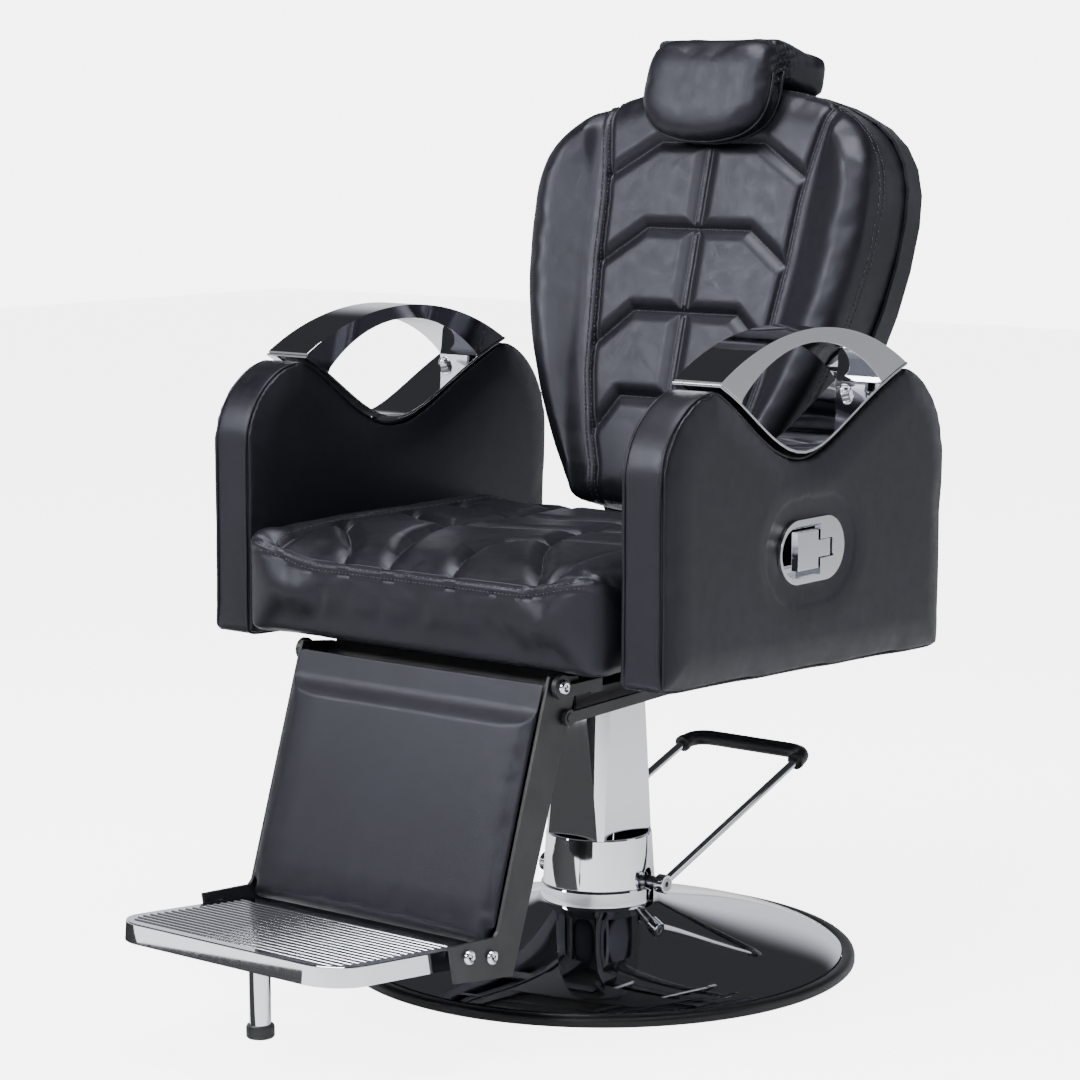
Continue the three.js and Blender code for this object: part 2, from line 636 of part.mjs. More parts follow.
// A thin chrome strip that lines the dip from shoulder to shoulder.
function armSaddles() {
  const overCentre = block(armInner, armOuter, SHOULDER_FRONT_Y + 2, SHOULDER_REAR_Y - 2,
    ARM_DIP - 20, ARM_PEAK + 20);
  const skin = cut(armSolid(SADDLE_WALL + GAP, 0), armSolid(GAP * 1.2, 1));
  addPair('arm_saddle', common(skin, overCentre), chrome);
}

// The arm rest proper: a flat chrome arch that springs from one shoulder to the other.
function armArches() {
  const outerArc = circleThrough([SHOULDER_FRONT_Y + 4, ARM_PEAK + 4], [ARCH_CROWN_Y, ARCH_CROWN],
    [SHOULDER_REAR_Y - 2, ARM_PEAK + 1]);
  const innerArc = circleThrough([SHOULDER_FRONT_Y + 40, ARM_PEAK - 18],
    [ARCH_CROWN_Y, ARCH_CROWN - ARCH_DEPTH], [SHOULDER_REAR_Y - 51, ARM_PEAK - 20]);
  const sweepTo = (shape, arc, y0, y1, count) => {
    for (let i = 0; i <= count; i += 1) {
      const y = y0 + (y1 - y0) * i / count;
      shape.lineTo(y, arc.z + Math.sqrt(arc.radius ** 2 - (y - arc.y) ** 2));
    }
  };
  const shape = new THREE.Shape();
  shape.moveTo(SHOULDER_FRONT_Y + 4, ARM_PEAK - 40);
  sweepTo(shape, outerArc, SHOULDER_FRONT_Y + 4, SHOULDER_REAR_Y - 4, 24);
  shape.lineTo(SHOULDER_REAR_Y - 4, ARM_PEAK - 40);
  shape.lineTo(SHOULDER_REAR_Y - 45, ARM_PEAK - 40);
  sweepTo(shape, innerArc, SHOULDER_REAR_Y - 45, SHOULDER_FRONT_Y + 34, 20);
  shape.lineTo(SHOULDER_FRONT_Y + 34, ARM_PEAK - 40);
  const blank = alongX(shape, armInner, armOuter);
  addPair('arm_arch', cut(blank, armSolid(SADDLE_WALL + 2 * GAP, 1)), chrome);
}

// A domed cap nut on the rear slope of the dip.
function archNuts() {
  const across = (armInner + armOuter) / 2;
  const rise = Math.atan2(ARM_PEAK - ARM_DIP, SHOULDER_REAR_Y - ARM_DIP_Y) * 1.14;
  const dome = turned([
    [0, 0], [NUT_RADIUS, 0], [NUT_RADIUS, 5], [NUT_RADIUS * 0.85, 8.5], [NUT_RADIUS * 0.5, 11], [0, 12],
  ], 18);
  const along = (NUT_Y - ARM_DIP_Y) / (SHOULDER_REAR_Y - ARM_DIP_Y);
  const seatZ = ARM_DIP + (ARM_PEAK - ARM_DIP) * along ** 1.35 + SADDLE_WALL + 9;
  dome.rotateX(rise).translate(across, NUT_Y, seatZ);
  addPair('arch_nut', dome, chrome);
}

// ---------------------------------------------------------------- recline lever
const leverPivotX = armOuter + BEZEL_FLANGE - LEVER_THICKNESS / 2 - 1;

function leverBezel() {
  const lip = BEZEL_LIP;
  const plate = alongX(oval(BEZEL_Y, BEZEL_Z, BEZEL_LENGTH / 2, BEZEL_HEIGHT / 2),
    armOuter + GAP, armOuter + GAP + BEZEL_FLANGE, 14);
  const cup = alongX(oval(BEZEL_Y, BEZEL_Z, BEZEL_LENGTH / 2 - lip, BEZEL_HEIGHT / 2 - lip),
    armOuter + GAP - BEZEL_CUP, armOuter + GAP + 1, 12);
  const face = armOuter + BEZEL_FLANGE + 5;
  const floor = armOuter + BEZEL_FLANGE - RECESS_DEPTH;
  const fingerRoom = BEZEL_HEIGHT / 2 - 7;
  const mouth = new THREE.Shape();
  mouth.moveTo(PADDLE_REAR + 2, BEZEL_Z - fingerRoom);
  mouth.lineTo(PADDLE_REAR + 2, BEZEL_Z + fingerRoom);
  mouth.lineTo(BEZEL_Y - 30, BEZEL_Z + fingerRoom);
  mouth.absarc(BEZEL_Y - 30, BEZEL_Z, fingerRoom, Math.PI / 2, Math.PI * 1.5, false);
  const stemRoom = STEM_HEIGHT / 2 + 0.8;
  const slot = block(floor, face, PADDLE_REAR, LEVER_PIVOT_Y + 7, BEZEL_Z - stemRoom, BEZEL_Z + stemRoom);
  const pinHole = disc(LEVER_PIN_RADIUS + 0.2, BEZEL_Z - STEM_HEIGHT, BEZEL_Z + STEM_HEIGHT, 12)
    .translate(leverPivotX, LEVER_PIVOT_Y, 0);
  add('lever_bezel', cut(join(plate, cup), alongX(mouth, floor, face, 12), slot, pinHole), chrome);
  const pinHalf = STEM_HEIGHT / 2 + 4;
  const pin = disc(LEVER_PIN_RADIUS, BEZEL_Z - pinHalf, BEZEL_Z + pinHalf, 12);
  add('lever_pin', pin.translate(leverPivotX, LEVER_PIVOT_Y, 0), bareSteel);
}

// The paddle is a T seen from the side, with its stem on an upright pin at the rear.
function releaseLever() {
  const inner = leverPivotX - LEVER_THICKNESS / 2;
  const outer = inner + LEVER_THICKNESS;
  const half = PADDLE_HEIGHT / 2;
  const paddle = block(inner, outer, PADDLE_FRONT, PADDLE_REAR, BEZEL_Z - half, BEZEL_Z + half);
  const stemHalf = STEM_HEIGHT / 2;
  const stem = block(inner, outer, PADDLE_REAR - 1, LEVER_PIVOT_Y, BEZEL_Z - stemHalf, BEZEL_Z + stemHalf);
  const knuckle = disc(LEVER_THICKNESS / 2, BEZEL_Z - stemHalf, BEZEL_Z + stemHalf, 16)
    .translate(leverPivotX, LEVER_PIVOT_Y, 0);
  const bore = disc(LEVER_PIN_RADIUS + 0.2, BEZEL_Z - half, BEZEL_Z + half, 12)
    .translate(leverPivotX, LEVER_PIVOT_Y, 0);
  add('release_lever', cut(join(paddle, stem, knuckle), bore), chrome);
}

function releaseCable() {
  add('release_cable', swept(cableCurve(), CABLE_RADIUS, 50, 4), nylon);
}

// ---------------------------------------------------------------- reclining lock
function strutCylinder() {
  const body = alongY(circle(STRUT_X, strutZ, STRUT_RADIUS), -STRUT_FRONT - 1, STRUT_REAR, 8);
  const head = block(STRUT_X - 12, STRUT_X + 12, -STRUT_FRONT - STRUT_HEAD, -STRUT_FRONT,
    railBottom + 0.3, railTop);
  const bore = alongY(circle(STRUT_X, strutZ, STRUT_ROD + RUN), 30 - STRUT_FRONT, STRUT_REAR + 1, 8);
  add('strut_cylinder', cut(join(body, head), bore), blackSteel);
}

// The rod ends in an eye whose bore is a slot, because the pin also rises and falls a little.
function strutRod() {
  const pinY = PIVOT_Y + STRUT_ARM * Math.sin(STRUT_START);
  const sag = STRUT_ARM * (1 - Math.cos(STRUT_START)) / 2;
  const slotY = STRUT_ROD + 0.8;
  const slotZ = STRUT_ROD + sag + 0.8;
  const wall = 5;
  const eye = block(STRUT_X - 5, STRUT_X + 5, pinY - slotY - wall, pinY + slotY + wall,
    strutZ - slotZ - wall, strutZ + slotZ + wall);
  const rod = alongY(circle(STRUT_X, strutZ, STRUT_ROD), -40, pinY - slotY - wall + 1, 8);
  const slot = block(STRUT_X - 6, STRUT_X + 6, pinY - slotY, pinY + slotY, strutZ - slotZ, strutZ + slotZ);
  add('strut_rod', cut(join(rod, eye), slot), bareSteel);
}

// ---------------------------------------------------------------- back
function backPivot() {
  const shaftEnd = rearEarInner + EAR_THICKNESS + 4;
  const shaft = pinX(PIVOT_Y, pivotZ, PIVOT_SHAFT_RADIUS, -shaftEnd, shaftEnd, 12);
  add('back_pivot_shaft', shaft, bareSteel);
  const tubeEnd = rearEarInner - 0.5;
  const tube = cut(pinX(PIVOT_Y, pivotZ, tubeRadius, -tubeEnd, tubeEnd, 12),
    pinX(PIVOT_Y, pivotZ, PIVOT_SHAFT_RADIUS + RUN, -tubeEnd - 1, tubeEnd + 1, 12));
  add('back_pivot_tube', tube, blackSteel);
}

// A flat lever clamped round the pivot tube, with a stub pin at its free end.
function tubeLever(x0, x1, endY, endZ, pinFrom, pinTo) {
  const across = new THREE.Vector2(endY - PIVOT_Y, endZ - pivotZ).normalize().multiplyScalar(9);
  const blade = polygon([
    [PIVOT_Y + across.y, pivotZ - across.x], [PIVOT_Y - across.y, pivotZ + across.x],
    [endY - across.y, endZ + across.x], [endY + across.y, endZ - across.x],
  ].reverse());
  const body = join(
    pinX(PIVOT_Y, pivotZ, tubeRadius + 6, x0, x1, 10),
    alongX(blade, x0, x1),
    pinX(endY, endZ, 9, x0, x1, 8),
    pinX(endY, endZ, BOLT_RADIUS, pinFrom, pinTo, 6));
  return cut(body, pinX(PIVOT_Y, pivotZ, tubeRadius + RUN, x0 - 1, x1 + 1, 12));
}

function backLevers() {
  const lever = tubeLever(leverInner, leverInner + EAR_THICKNESS, PIVOT_Y + linkBack, pivotZ - linkDrop,
    linkInner - 0.5, leverInner + 1);
  addPair('back_lever', lever, blackSteel);
  const bladeInner = STRUT_X + 7;
  const strutLever = tubeLever(bladeInner, bladeInner + EAR_THICKNESS,
    PIVOT_Y + STRUT_ARM * Math.sin(STRUT_START), pivotZ - STRUT_ARM * Math.cos(STRUT_START),
    STRUT_X - 6, bladeInner + 1);
  add('strut_lever', strutLever, blackSteel);
}

// Places a solid drawn in (across, along the back, forward of its face) on the leaning back.
function onBack(geometry) {
  const up = new THREE.Vector3(0, Math.sin(LEAN), Math.cos(LEAN));
  const forward = new THREE.Vector3(0, -Math.cos(LEAN), Math.sin(LEAN));
  const place = new THREE.Matrix4().makeBasis(new THREE.Vector3(1, 0, 0), up, forward);
  return geometry.applyMatrix4(place).translate(0, BACK_FACE_Y, BACK_FACE_Z);
}

// The (y, z) of a point on the leaning back.
function backPoint(along, forward) {
  return [
    BACK_FACE_Y + along * Math.sin(LEAN) - forward * Math.cos(LEAN),
    BACK_FACE_Z + along * Math.cos(LEAN) + forward * Math.sin(LEAN),
  ];
}

// Front outline of the back: narrow foot, wide shoulders and a round top.
function backOutline(inset) {
  const half = backHalf - inset;
  const foot = BACK_FOOT_HALF - inset;
  const bottom = BACK_BOTTOM + inset;
  const top = BACK_TOP - inset;
  const shape = new THREE.Shape();
  shape.moveTo(-foot, bottom);
  shape.lineTo(foot, bottom);
  shape.bezierCurveTo(foot + 78, bottom + 104, half, BACK_WIDEST - 150, half, BACK_WIDEST);
  shape.bezierCurveTo(half, BACK_WIDEST + 103, half * 0.7, top, 0, top);
  shape.bezierCurveTo(-half * 0.7, top, -half, BACK_WIDEST + 103, -half, BACK_WIDEST);
  shape.bezierCurveTo(-half, BACK_WIDEST - 150, -foot - 78, bottom + 104, -foot, bottom);
  return shape;
}

const backSlab = (inset, from, to) => extrude(backOutline(inset), to - from, 8).translate(0, 0, from);

// A slab with two raised side bolsters.
function backCushion() {
  const channel = extrude(polygon([
    [-BACK_FOOT_HALF + 22, BACK_BOTTOM - 5], [BACK_FOOT_HALF - 22, BACK_BOTTOM - 5],
    [backHalf - 112, BACK_WIDEST], [backHalf - 84, BACK_TOP + 5],
    [84 - backHalf, BACK_TOP + 5], [112 - backHalf, BACK_WIDEST],
  ]), BOLSTER_HEIGHT + 5);
  const bolsters = cut(backSlab(4, -1, BOLSTER_HEIGHT), channel);
  add('back_cushion', onBack(join(backSlab(0, -BACK_CUSHION, 0), bolsters)), leather);
}

function backBoard() {
  const front = -BACK_CUSHION - GAP;
  add('back_board', onBack(backSlab(SHELL_WALL + 1, front - BACK_BOARD, front)), plywood);
}

const boardRear = -BACK_CUSHION - GAP - BACK_BOARD;
const shellFloor = SHELL_WALL - BACK_DEPTH;

// The covered tray that closes the rear of the back, notched for the uprights and headrest bars.
function backShell() {
  const tray = cut(backSlab(0, -BACK_DEPTH, -BACK_CUSHION - GAP),
    backSlab(SHELL_WALL, shellFloor, -BACK_CUSHION + 1));
  const notches = [-1, 1].flatMap((side) => [
    notch(side * UPRIGHT_X, UPRIGHT_WIDTH / 2 + 2, BACK_BOTTOM - 5, BACK_BOTTOM + SHELL_WALL + 5),
    notch(side * HEADREST_BAR_X, HEADREST_BAR_WIDTH / 2 + 2, BACK_TOP - SHELL_WALL - 10, BACK_TOP + 5),
  ]);
  add('back_shell', onBack(cut(tray, ...notches)), leather);
}

const notch = (x, half, s0, s1) => block(x - half, x + half, s0, s1, shellFloor + 0.5, boardRear - 0.5);

// Flat bars that clamp round the pivot tube and run up behind the board.
function backUprights() {
  const centre = (boardRear + shellFloor) / 2;
  const half = UPRIGHT_THICKNESS / 2;
  const knee = BACK_BOTTOM - 10;
  const bar = polygon([
    [PIVOT_Y + half, pivotZ], backPoint(knee, centre - half), backPoint(UPRIGHT_TOP, centre - half),
    backPoint(UPRIGHT_TOP, centre + half), backPoint(knee, centre + half), [PIVOT_Y - half, pivotZ],
  ]);
  const inner = UPRIGHT_X - UPRIGHT_WIDTH / 2;
  const outer = UPRIGHT_X + UPRIGHT_WIDTH / 2;
  const body = join(alongX(bar, inner, outer), pinX(PIVOT_Y, pivotZ, tubeRadius + 5, inner, outer, 10));
  const clamp = pinX(PIVOT_Y, pivotZ, tubeRadius + RUN, inner - 1, outer + 1, 12);
  addPair('back_upright', cut(body, clamp), blackSteel);
}

// ---------------------------------------------------------------- headrest
const barCentre = (boardRear + shellFloor) / 2;

function headrestSleeve() {
  const half = HEADREST_BAR_X + HEADREST_BAR_WIDTH / 2 + 5;
  const body = block(-half, half, SLEEVE_BOTTOM, SLEEVE_TOP, shellFloor + GAP, boardRear - GAP);
  const spare = 0.5;
  const slots = [-1, 1].map((side) => {
    const x = side * HEADREST_BAR_X;
    const wide = HEADREST_BAR_WIDTH / 2 + spare;
    const deep = HEADREST_BAR_THICKNESS / 2 + spare;
    return block(x - wide, x + wide, SLEEVE_BOTTOM - 1, SLEEVE_TOP + 1, barCentre - deep, barCentre + deep);
  });
  add('headrest_sleeve', onBack(cut(body, ...slots)), nylon);
}

// A pad that hangs in front of the back and wraps over its top edge.
function headrestPad() {
  const under = BACK_TOP + 3;
  const round = 70;
  const face = new THREE.Shape();
  const brow = HEADREST_TOP - HEADREST_BROW;
  face.moveTo(-HEADREST_HALF, brow);
  face.lineTo(-HEADREST_HALF, HEADREST_BOTTOM + round);
  face.bezierCurveTo(-HEADREST_HALF, HEADREST_BOTTOM + 25, -HEADREST_HALF + 35, HEADREST_BOTTOM, 0,
    HEADREST_BOTTOM);
  face.bezierCurveTo(HEADREST_HALF - 35, HEADREST_BOTTOM, HEADREST_HALF, HEADREST_BOTTOM + 25,
    HEADREST_HALF, HEADREST_BOTTOM + round);
  face.lineTo(HEADREST_HALF, brow);
  const front = extrude(face, HEADREST_FRONT - 0.6, 8).translate(0, 0, 0.6);
  const top = block(-HEADREST_HALF, HEADREST_HALF, under, HEADREST_TOP, 2 - BACK_DEPTH, 2);
  add('headrest_pad', onBack(join(front, top)), leather);
}

function headrestBars() {
  const half = HEADREST_BAR_THICKNESS / 2;
  const bar = onBack(block(HEADREST_BAR_X - HEADREST_BAR_WIDTH / 2, HEADREST_BAR_X + HEADREST_BAR_WIDTH / 2,
    HEADREST_BAR_BOTTOM, BACK_TOP + 3 - GAP, barCentre - half, barCentre + half));
  addPair('headrest_bar', bar, chrome);
}

// ---------------------------------------------------------------- legrest and linkage
// The (y, z) of a point given by its distance down the legrest and out from its pivot line.
function legPoint(down, out) {
  return [
    LEG_PIVOT_Y - down * Math.sin(LEG_TILT) - out * Math.cos(LEG_TILT),
    legPivotZ - down * Math.cos(LEG_TILT) + out * Math.sin(LEG_TILT),
  ];
}

const linkPinY = LEG_PIVOT_Y + linkBack;
const linkPinZ = legPivotZ - linkDrop;

// Two side plates joined by a back sheet; the plates reach forward at the bottom for the footplate.
function legrestFrame() {
  const side = polygon([
    legPoint(-7.5, LEG_PAD_FRONT), legPoint(-17, -LEG_BACK), legPoint(LEG_LENGTH, 10 - LEG_BACK),
    legPoint(LEG_LENGTH + 18, FOOT_PIVOT_OUT + 11.5), legPoint(LEG_LENGTH - 17.5, FOOT_PIVOT_OUT + 31.5),
    legPoint(LEG_PAD_LENGTH + 7, LEG_PAD_FRONT + 4), legPoint(LEG_PAD_LENGTH, LEG_PAD_FRONT),
  ]);
  const sheet = polygon([
    legPoint(-17, -LEG_BACK), legPoint(LEG_LENGTH, 10 - LEG_BACK),
    legPoint(LEG_LENGTH, 10 - LEG_BACK + LEG_SHEET), legPoint(-17, LEG_SHEET - LEG_BACK),
  ]);
  const inner = LEG_HALF - LEG_SIDE;
  const stubs = [linkInner + LINK_THICKNESS + 1, -inner].map((end) =>
    pinX(linkPinY, linkPinZ, BOLT_RADIUS, end > 0 ? inner : -linkInner - LINK_THICKNESS - 1,
      end > 0 ? end : -inner, 6));
  const body = join(alongX(side, inner, LEG_HALF), alongX(side, -LEG_HALF, -inner),
    alongX(sheet, -inner - 1, inner + 1), ...stubs);
  const bore = (down, out) => pinX(...legPoint(down, out), BOLT_RADIUS + RUN, -LEG_HALF - 1, LEG_HALF + 1, 10);
  add('legrest_frame', cut(body, bore(0, 0), bore(FOOT_PIVOT_DOWN, FOOT_PIVOT_OUT),
    bore(FOOT_PIVOT_DOWN - 4, FOOT_PIVOT_OUT - 37.6)), blackSteel);
}

function legrestPad() {
  const rear = LEG_SHEET + 2 - LEG_BACK;
  const profile = polygon([
    legPoint(-6, LEG_PAD_FRONT - 6), legPoint(-6, rear), legPoint(LEG_PAD_LENGTH, 9 + rear),
    legPoint(LEG_PAD_LENGTH, LEG_PAD_FRONT - 6), legPoint(LEG_PAD_LENGTH - 6, LEG_PAD_FRONT),
    legPoint(0, LEG_PAD_FRONT),
  ]);
  const half = LEG_HALF - LEG_SIDE - LEG_PAD_GAP;
  add('legrest_pad', alongX(profile, -half, half), leather);
}

function bolt(y, z, shankFrom, headFrom) {
  return join(pinX(y, z, BOLT_RADIUS, shankFrom, headFrom + 1, 10),
    pinX(y, z, BOLT_HEAD_RADIUS, headFrom, headFrom + BOLT_HEAD, 8));
}

function legrestBolts() {
  const shank = LEG_HALF - LEG_SIDE - 1.5;
  addPair('legrest_pivot_bolt', bolt(LEG_PIVOT_Y, legPivotZ, shank, earInner + EAR_THICKNESS + GAP), bareSteel);
  const [stopY, stopZ] = legPoint(FOOT_PIVOT_DOWN - 4, FOOT_PIVOT_OUT - 37.6);
  addPair('boot_bolt', bolt(stopY, stopZ, shank - 2, LEG_HALF + GAP), chrome);
}

function links() {
  const a = [linkPinY, linkPinZ];
  const b = [PIVOT_Y + linkBack, pivotZ - linkDrop];
  const slope = new THREE.Vector2(b[0] - a[0], b[1] - a[1]).normalize().multiplyScalar(LINK_HALF_HEIGHT);
  const strip = polygon([
    [a[0] + slope.y, a[1] - slope.x], [b[0] + slope.y, b[1] - slope.x],
    [b[0] - slope.y, b[1] + slope.x], [a[0] - slope.y, a[1] + slope.x],
  ]);
  const from = linkInner;
  const to = linkInner + LINK_THICKNESS;
  const body = join(alongX(strip, from, to), pinX(...a, LINK_HALF_HEIGHT + 3, from, to, 8),
    pinX(...b, LINK_HALF_HEIGHT + 3, from, to, 8));
  const bores = [a, b].map((end) => pinX(...end, BOLT_RADIUS + RUN, from - 1, to + 1, 6));
  addPair('link', cut(body, ...bores), blackSteel);
}

// ---------------------------------------------------------------- footplate
const [footY, footZ] = legPoint(FOOT_PIVOT_DOWN, FOOT_PIVOT_OUT);

// Places a solid drawn in (across, forward from the pivot, up from the pivot) on the footplate.
function onFootplate(geometry) {
  const ahead = new THREE.Vector3(0, -Math.cos(FOOT_TILT), Math.sin(FOOT_TILT));
  const up = new THREE.Vector3(0, Math.sin(FOOT_TILT), Math.cos(FOOT_TILT));
  const left = new THREE.Vector3(-1, 0, 0);
  return geometry.applyMatrix4(new THREE.Matrix4().makeBasis(left, ahead, up)).translate(0, footY, footZ);
}

function footOutline(inset) {
  const half = FOOT_HALF - inset;
  const rear = inset - FOOT_BEHIND;
  const front = FOOT_LENGTH - FOOT_BEHIND - inset;
  const round = FOOT_CORNER - inset;
  const shape = new THREE.Shape();
  shape.moveTo(-half, rear);
  shape.lineTo(half, rear);
  shape.lineTo(half, front - round);
  shape.absarc(half - round, front - round, round, 0, Math.PI / 2, false);
  shape.lineTo(round - half, front);
  shape.absarc(round - half, front - round, round, Math.PI / 2, Math.PI, false);
  return shape;
}

// A pan with its deck on top and its rim turned down all round.
function footplatePlate() {
  const top = FOOT_ABOVE;
  const bottom = top - FOOT_HEIGHT;
  const blank = extrude(footOutline(0), FOOT_HEIGHT, 6).translate(0, 0, bottom);
  const hollow = extrude(footOutline(FOOT_WALL), FOOT_HEIGHT, 6).translate(0, 0, bottom - FOOT_WALL);
  const pan = onFootplate(cut(blank, hollow));
  const bore = pinX(footY, footZ, BOLT_RADIUS + RUN, -FOOT_HALF - 1, FOOT_HALF + 1, 10);
  add('footplate_plate', cut(pan, bore), chrome);
}

// The prop leg stands under the deck; a rubber tip caps its lower end.
function footplateProp() {
  const y = footY - PROP_AHEAD;
  const deckUnder = footZ + PROP_AHEAD * Math.tan(FOOT_TILT) + FOOT_ABOVE - FOOT_WALL;
  const top = deckUnder - PROP_RADIUS * Math.tan(FOOT_TILT) - 3 * GAP;
  const tipTop = PROP_TIP_Z + PROP_PAD_HEIGHT;
  add('footplate_leg', disc(PROP_RADIUS, tipTop + GAP, top, 20).translate(0, y, 0), chrome);
  add('footplate_foot', disc(PROP_PAD_RADIUS, PROP_TIP_Z, tipTop, 20).translate(0, y, 0), rubber);
}

function footplateBolts() {
  const shank = FOOT_HALF - FOOT_WALL - 4;
  addPair('footplate_bolt', bolt(footY, footZ, shank, LEG_HALF + GAP), chrome);
}

// ---------------------------------------------------------------- assembly
baseFloorPlate();
baseRing();
baseDome();
pumpBody();
columnCover();
ram();
pedalShaft();
pedalBar();
pedalGrip();
swivelHub();
frameRails();
frameCrossFront();
frameCrossRear();
armBars();
seatBoard();
seatCushion();
armPanels();
armSaddles();
armArches();
archNuts();
leverBezel();
releaseLever();
releaseCable();
strutCylinder();
strutRod();
backPivot();
backLevers();
backCushion();
backBoard();
backShell();
backUprights();
headrestSleeve();
headrestPad();
headrestBars();
legrestFrame();
legrestPad();
legrestBolts();
links();
footplatePlate();
footplateProp();
footplateBolts();

export default chair;
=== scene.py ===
"""The visible finish of a reclining hydraulic barber chair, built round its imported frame.

Lengths in this script are millimetres, in the frame's own axes, until a piece is placed.
"""
import json
from math import cos, hypot, pi, radians, sin, sqrt

import bmesh
import bpy
import numpy as np
from mathutils import Matrix, Vector
from mathutils.bvhtree import BVHTree
from mathutils.geometry import interpolate_bezier

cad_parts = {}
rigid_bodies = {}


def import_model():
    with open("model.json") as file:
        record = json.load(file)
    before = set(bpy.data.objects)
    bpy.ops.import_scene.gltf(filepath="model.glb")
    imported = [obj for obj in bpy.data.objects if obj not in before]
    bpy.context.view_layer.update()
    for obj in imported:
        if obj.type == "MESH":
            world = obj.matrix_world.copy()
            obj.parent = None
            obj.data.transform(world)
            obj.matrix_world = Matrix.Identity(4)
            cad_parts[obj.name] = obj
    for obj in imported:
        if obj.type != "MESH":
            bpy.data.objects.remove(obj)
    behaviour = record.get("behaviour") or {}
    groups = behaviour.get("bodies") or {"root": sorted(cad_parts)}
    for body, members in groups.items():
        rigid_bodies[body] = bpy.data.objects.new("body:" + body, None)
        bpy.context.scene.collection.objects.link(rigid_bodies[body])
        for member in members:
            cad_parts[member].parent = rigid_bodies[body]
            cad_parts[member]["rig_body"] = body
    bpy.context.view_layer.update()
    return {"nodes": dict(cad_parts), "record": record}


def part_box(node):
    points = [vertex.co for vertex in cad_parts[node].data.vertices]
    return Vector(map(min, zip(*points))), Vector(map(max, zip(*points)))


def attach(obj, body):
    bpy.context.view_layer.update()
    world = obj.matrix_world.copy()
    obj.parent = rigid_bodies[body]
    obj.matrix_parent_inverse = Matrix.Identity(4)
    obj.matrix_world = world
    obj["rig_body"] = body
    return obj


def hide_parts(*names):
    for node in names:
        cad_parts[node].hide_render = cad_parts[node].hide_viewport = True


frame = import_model()

MM = 0.001

# ------------------------------------------------------------ sizes shared by several pieces
SHAFT_Y, SHAFT_Z = 11, 96                   # pedal shaft
COVER_FOOT, COVER_TOP = 71.3, 318           # column cover, lowest and highest
FLAT_START = 150                            # height where the pressed flats begin
ARM_INNER, ARM_OUTER = 260, 322             # faces of the arm panels, from the centre plane
ARM_SEAM = 6.5                              # the two side seams, in from each face
ARM_MIDDLE = (-40, 520)                     # the side seams are drawn in towards here
SHOULDER_FRONT, DIP, SHOULDER_REAR = (-216, 703), (-56, 620), (147, 703)
BEZEL = (-46, 515)                          # centre of the lever's bezel, along and up
BACK_BOTTOM, BACK_TOP, BACK_HALF = -182, 343, 249
LEAN = Vector((0, 0.263873, 0.964557))      # direction up the back
OUT = Vector((0, -0.964557, 0.263873))      # direction out of the back's front face
BACK = Matrix(((1, 0, 0, 0), (0, LEAN.y, OUT.y, 146), (0, LEAN.z, OUT.z, 690), (0, 0, 0, 1)))
LEG_TILT = radians(18.3)
LEG = Matrix((                              # across, down the legrest, out of its face
    (1, 0, 0, 0), (0, -sin(LEG_TILT), -cos(LEG_TILT), -303),
    (0, -cos(LEG_TILT), sin(LEG_TILT), 386), (0, 0, 0, 1)))
LEG_HALF = 178
FOOT_TILT = radians(5.2)
FOOT_PIVOT = (0, -449.842, 125.111)
FOOT = Matrix((                             # across, ahead of the hinge, up from the hinge
    (1, 0, 0, 0), (0, -cos(FOOT_TILT), sin(FOOT_TILT), FOOT_PIVOT[1]),
    (0, sin(FOOT_TILT), cos(FOOT_TILT), FOOT_PIVOT[2]), (0, 0, 0, 1)))

# ------------------------------------------------------------ camera, floor and light


def camera():
    lens = bpy.data.cameras.new("camera")
    lens.lens, lens.sensor_width = 105, 36
    lens.clip_end = 50
    eye = bpy.data.objects.new("camera", lens)
    eye.location = (2.2017, -2.8497, 1.0047)
    eye.rotation_euler = (radians(81.891), 0, radians(38.789))
    bpy.context.scene.collection.objects.link(eye)
    bpy.context.scene.camera = eye


def softbox(name, place, aim, size, watts):
    panel = bpy.data.lights.new(name, "AREA")
    panel.shape, panel.size, panel.size_y, panel.energy = "RECTANGLE", size[0], size[1], watts
    lamp = bpy.data.objects.new(name, panel)
    lamp.location = place
    lamp.rotation_euler = (Vector(aim) - Vector(place)).to_track_quat("-Z", "Y").to_euler()
    lamp.visible_camera = False
    bpy.context.scene.collection.objects.link(lamp)


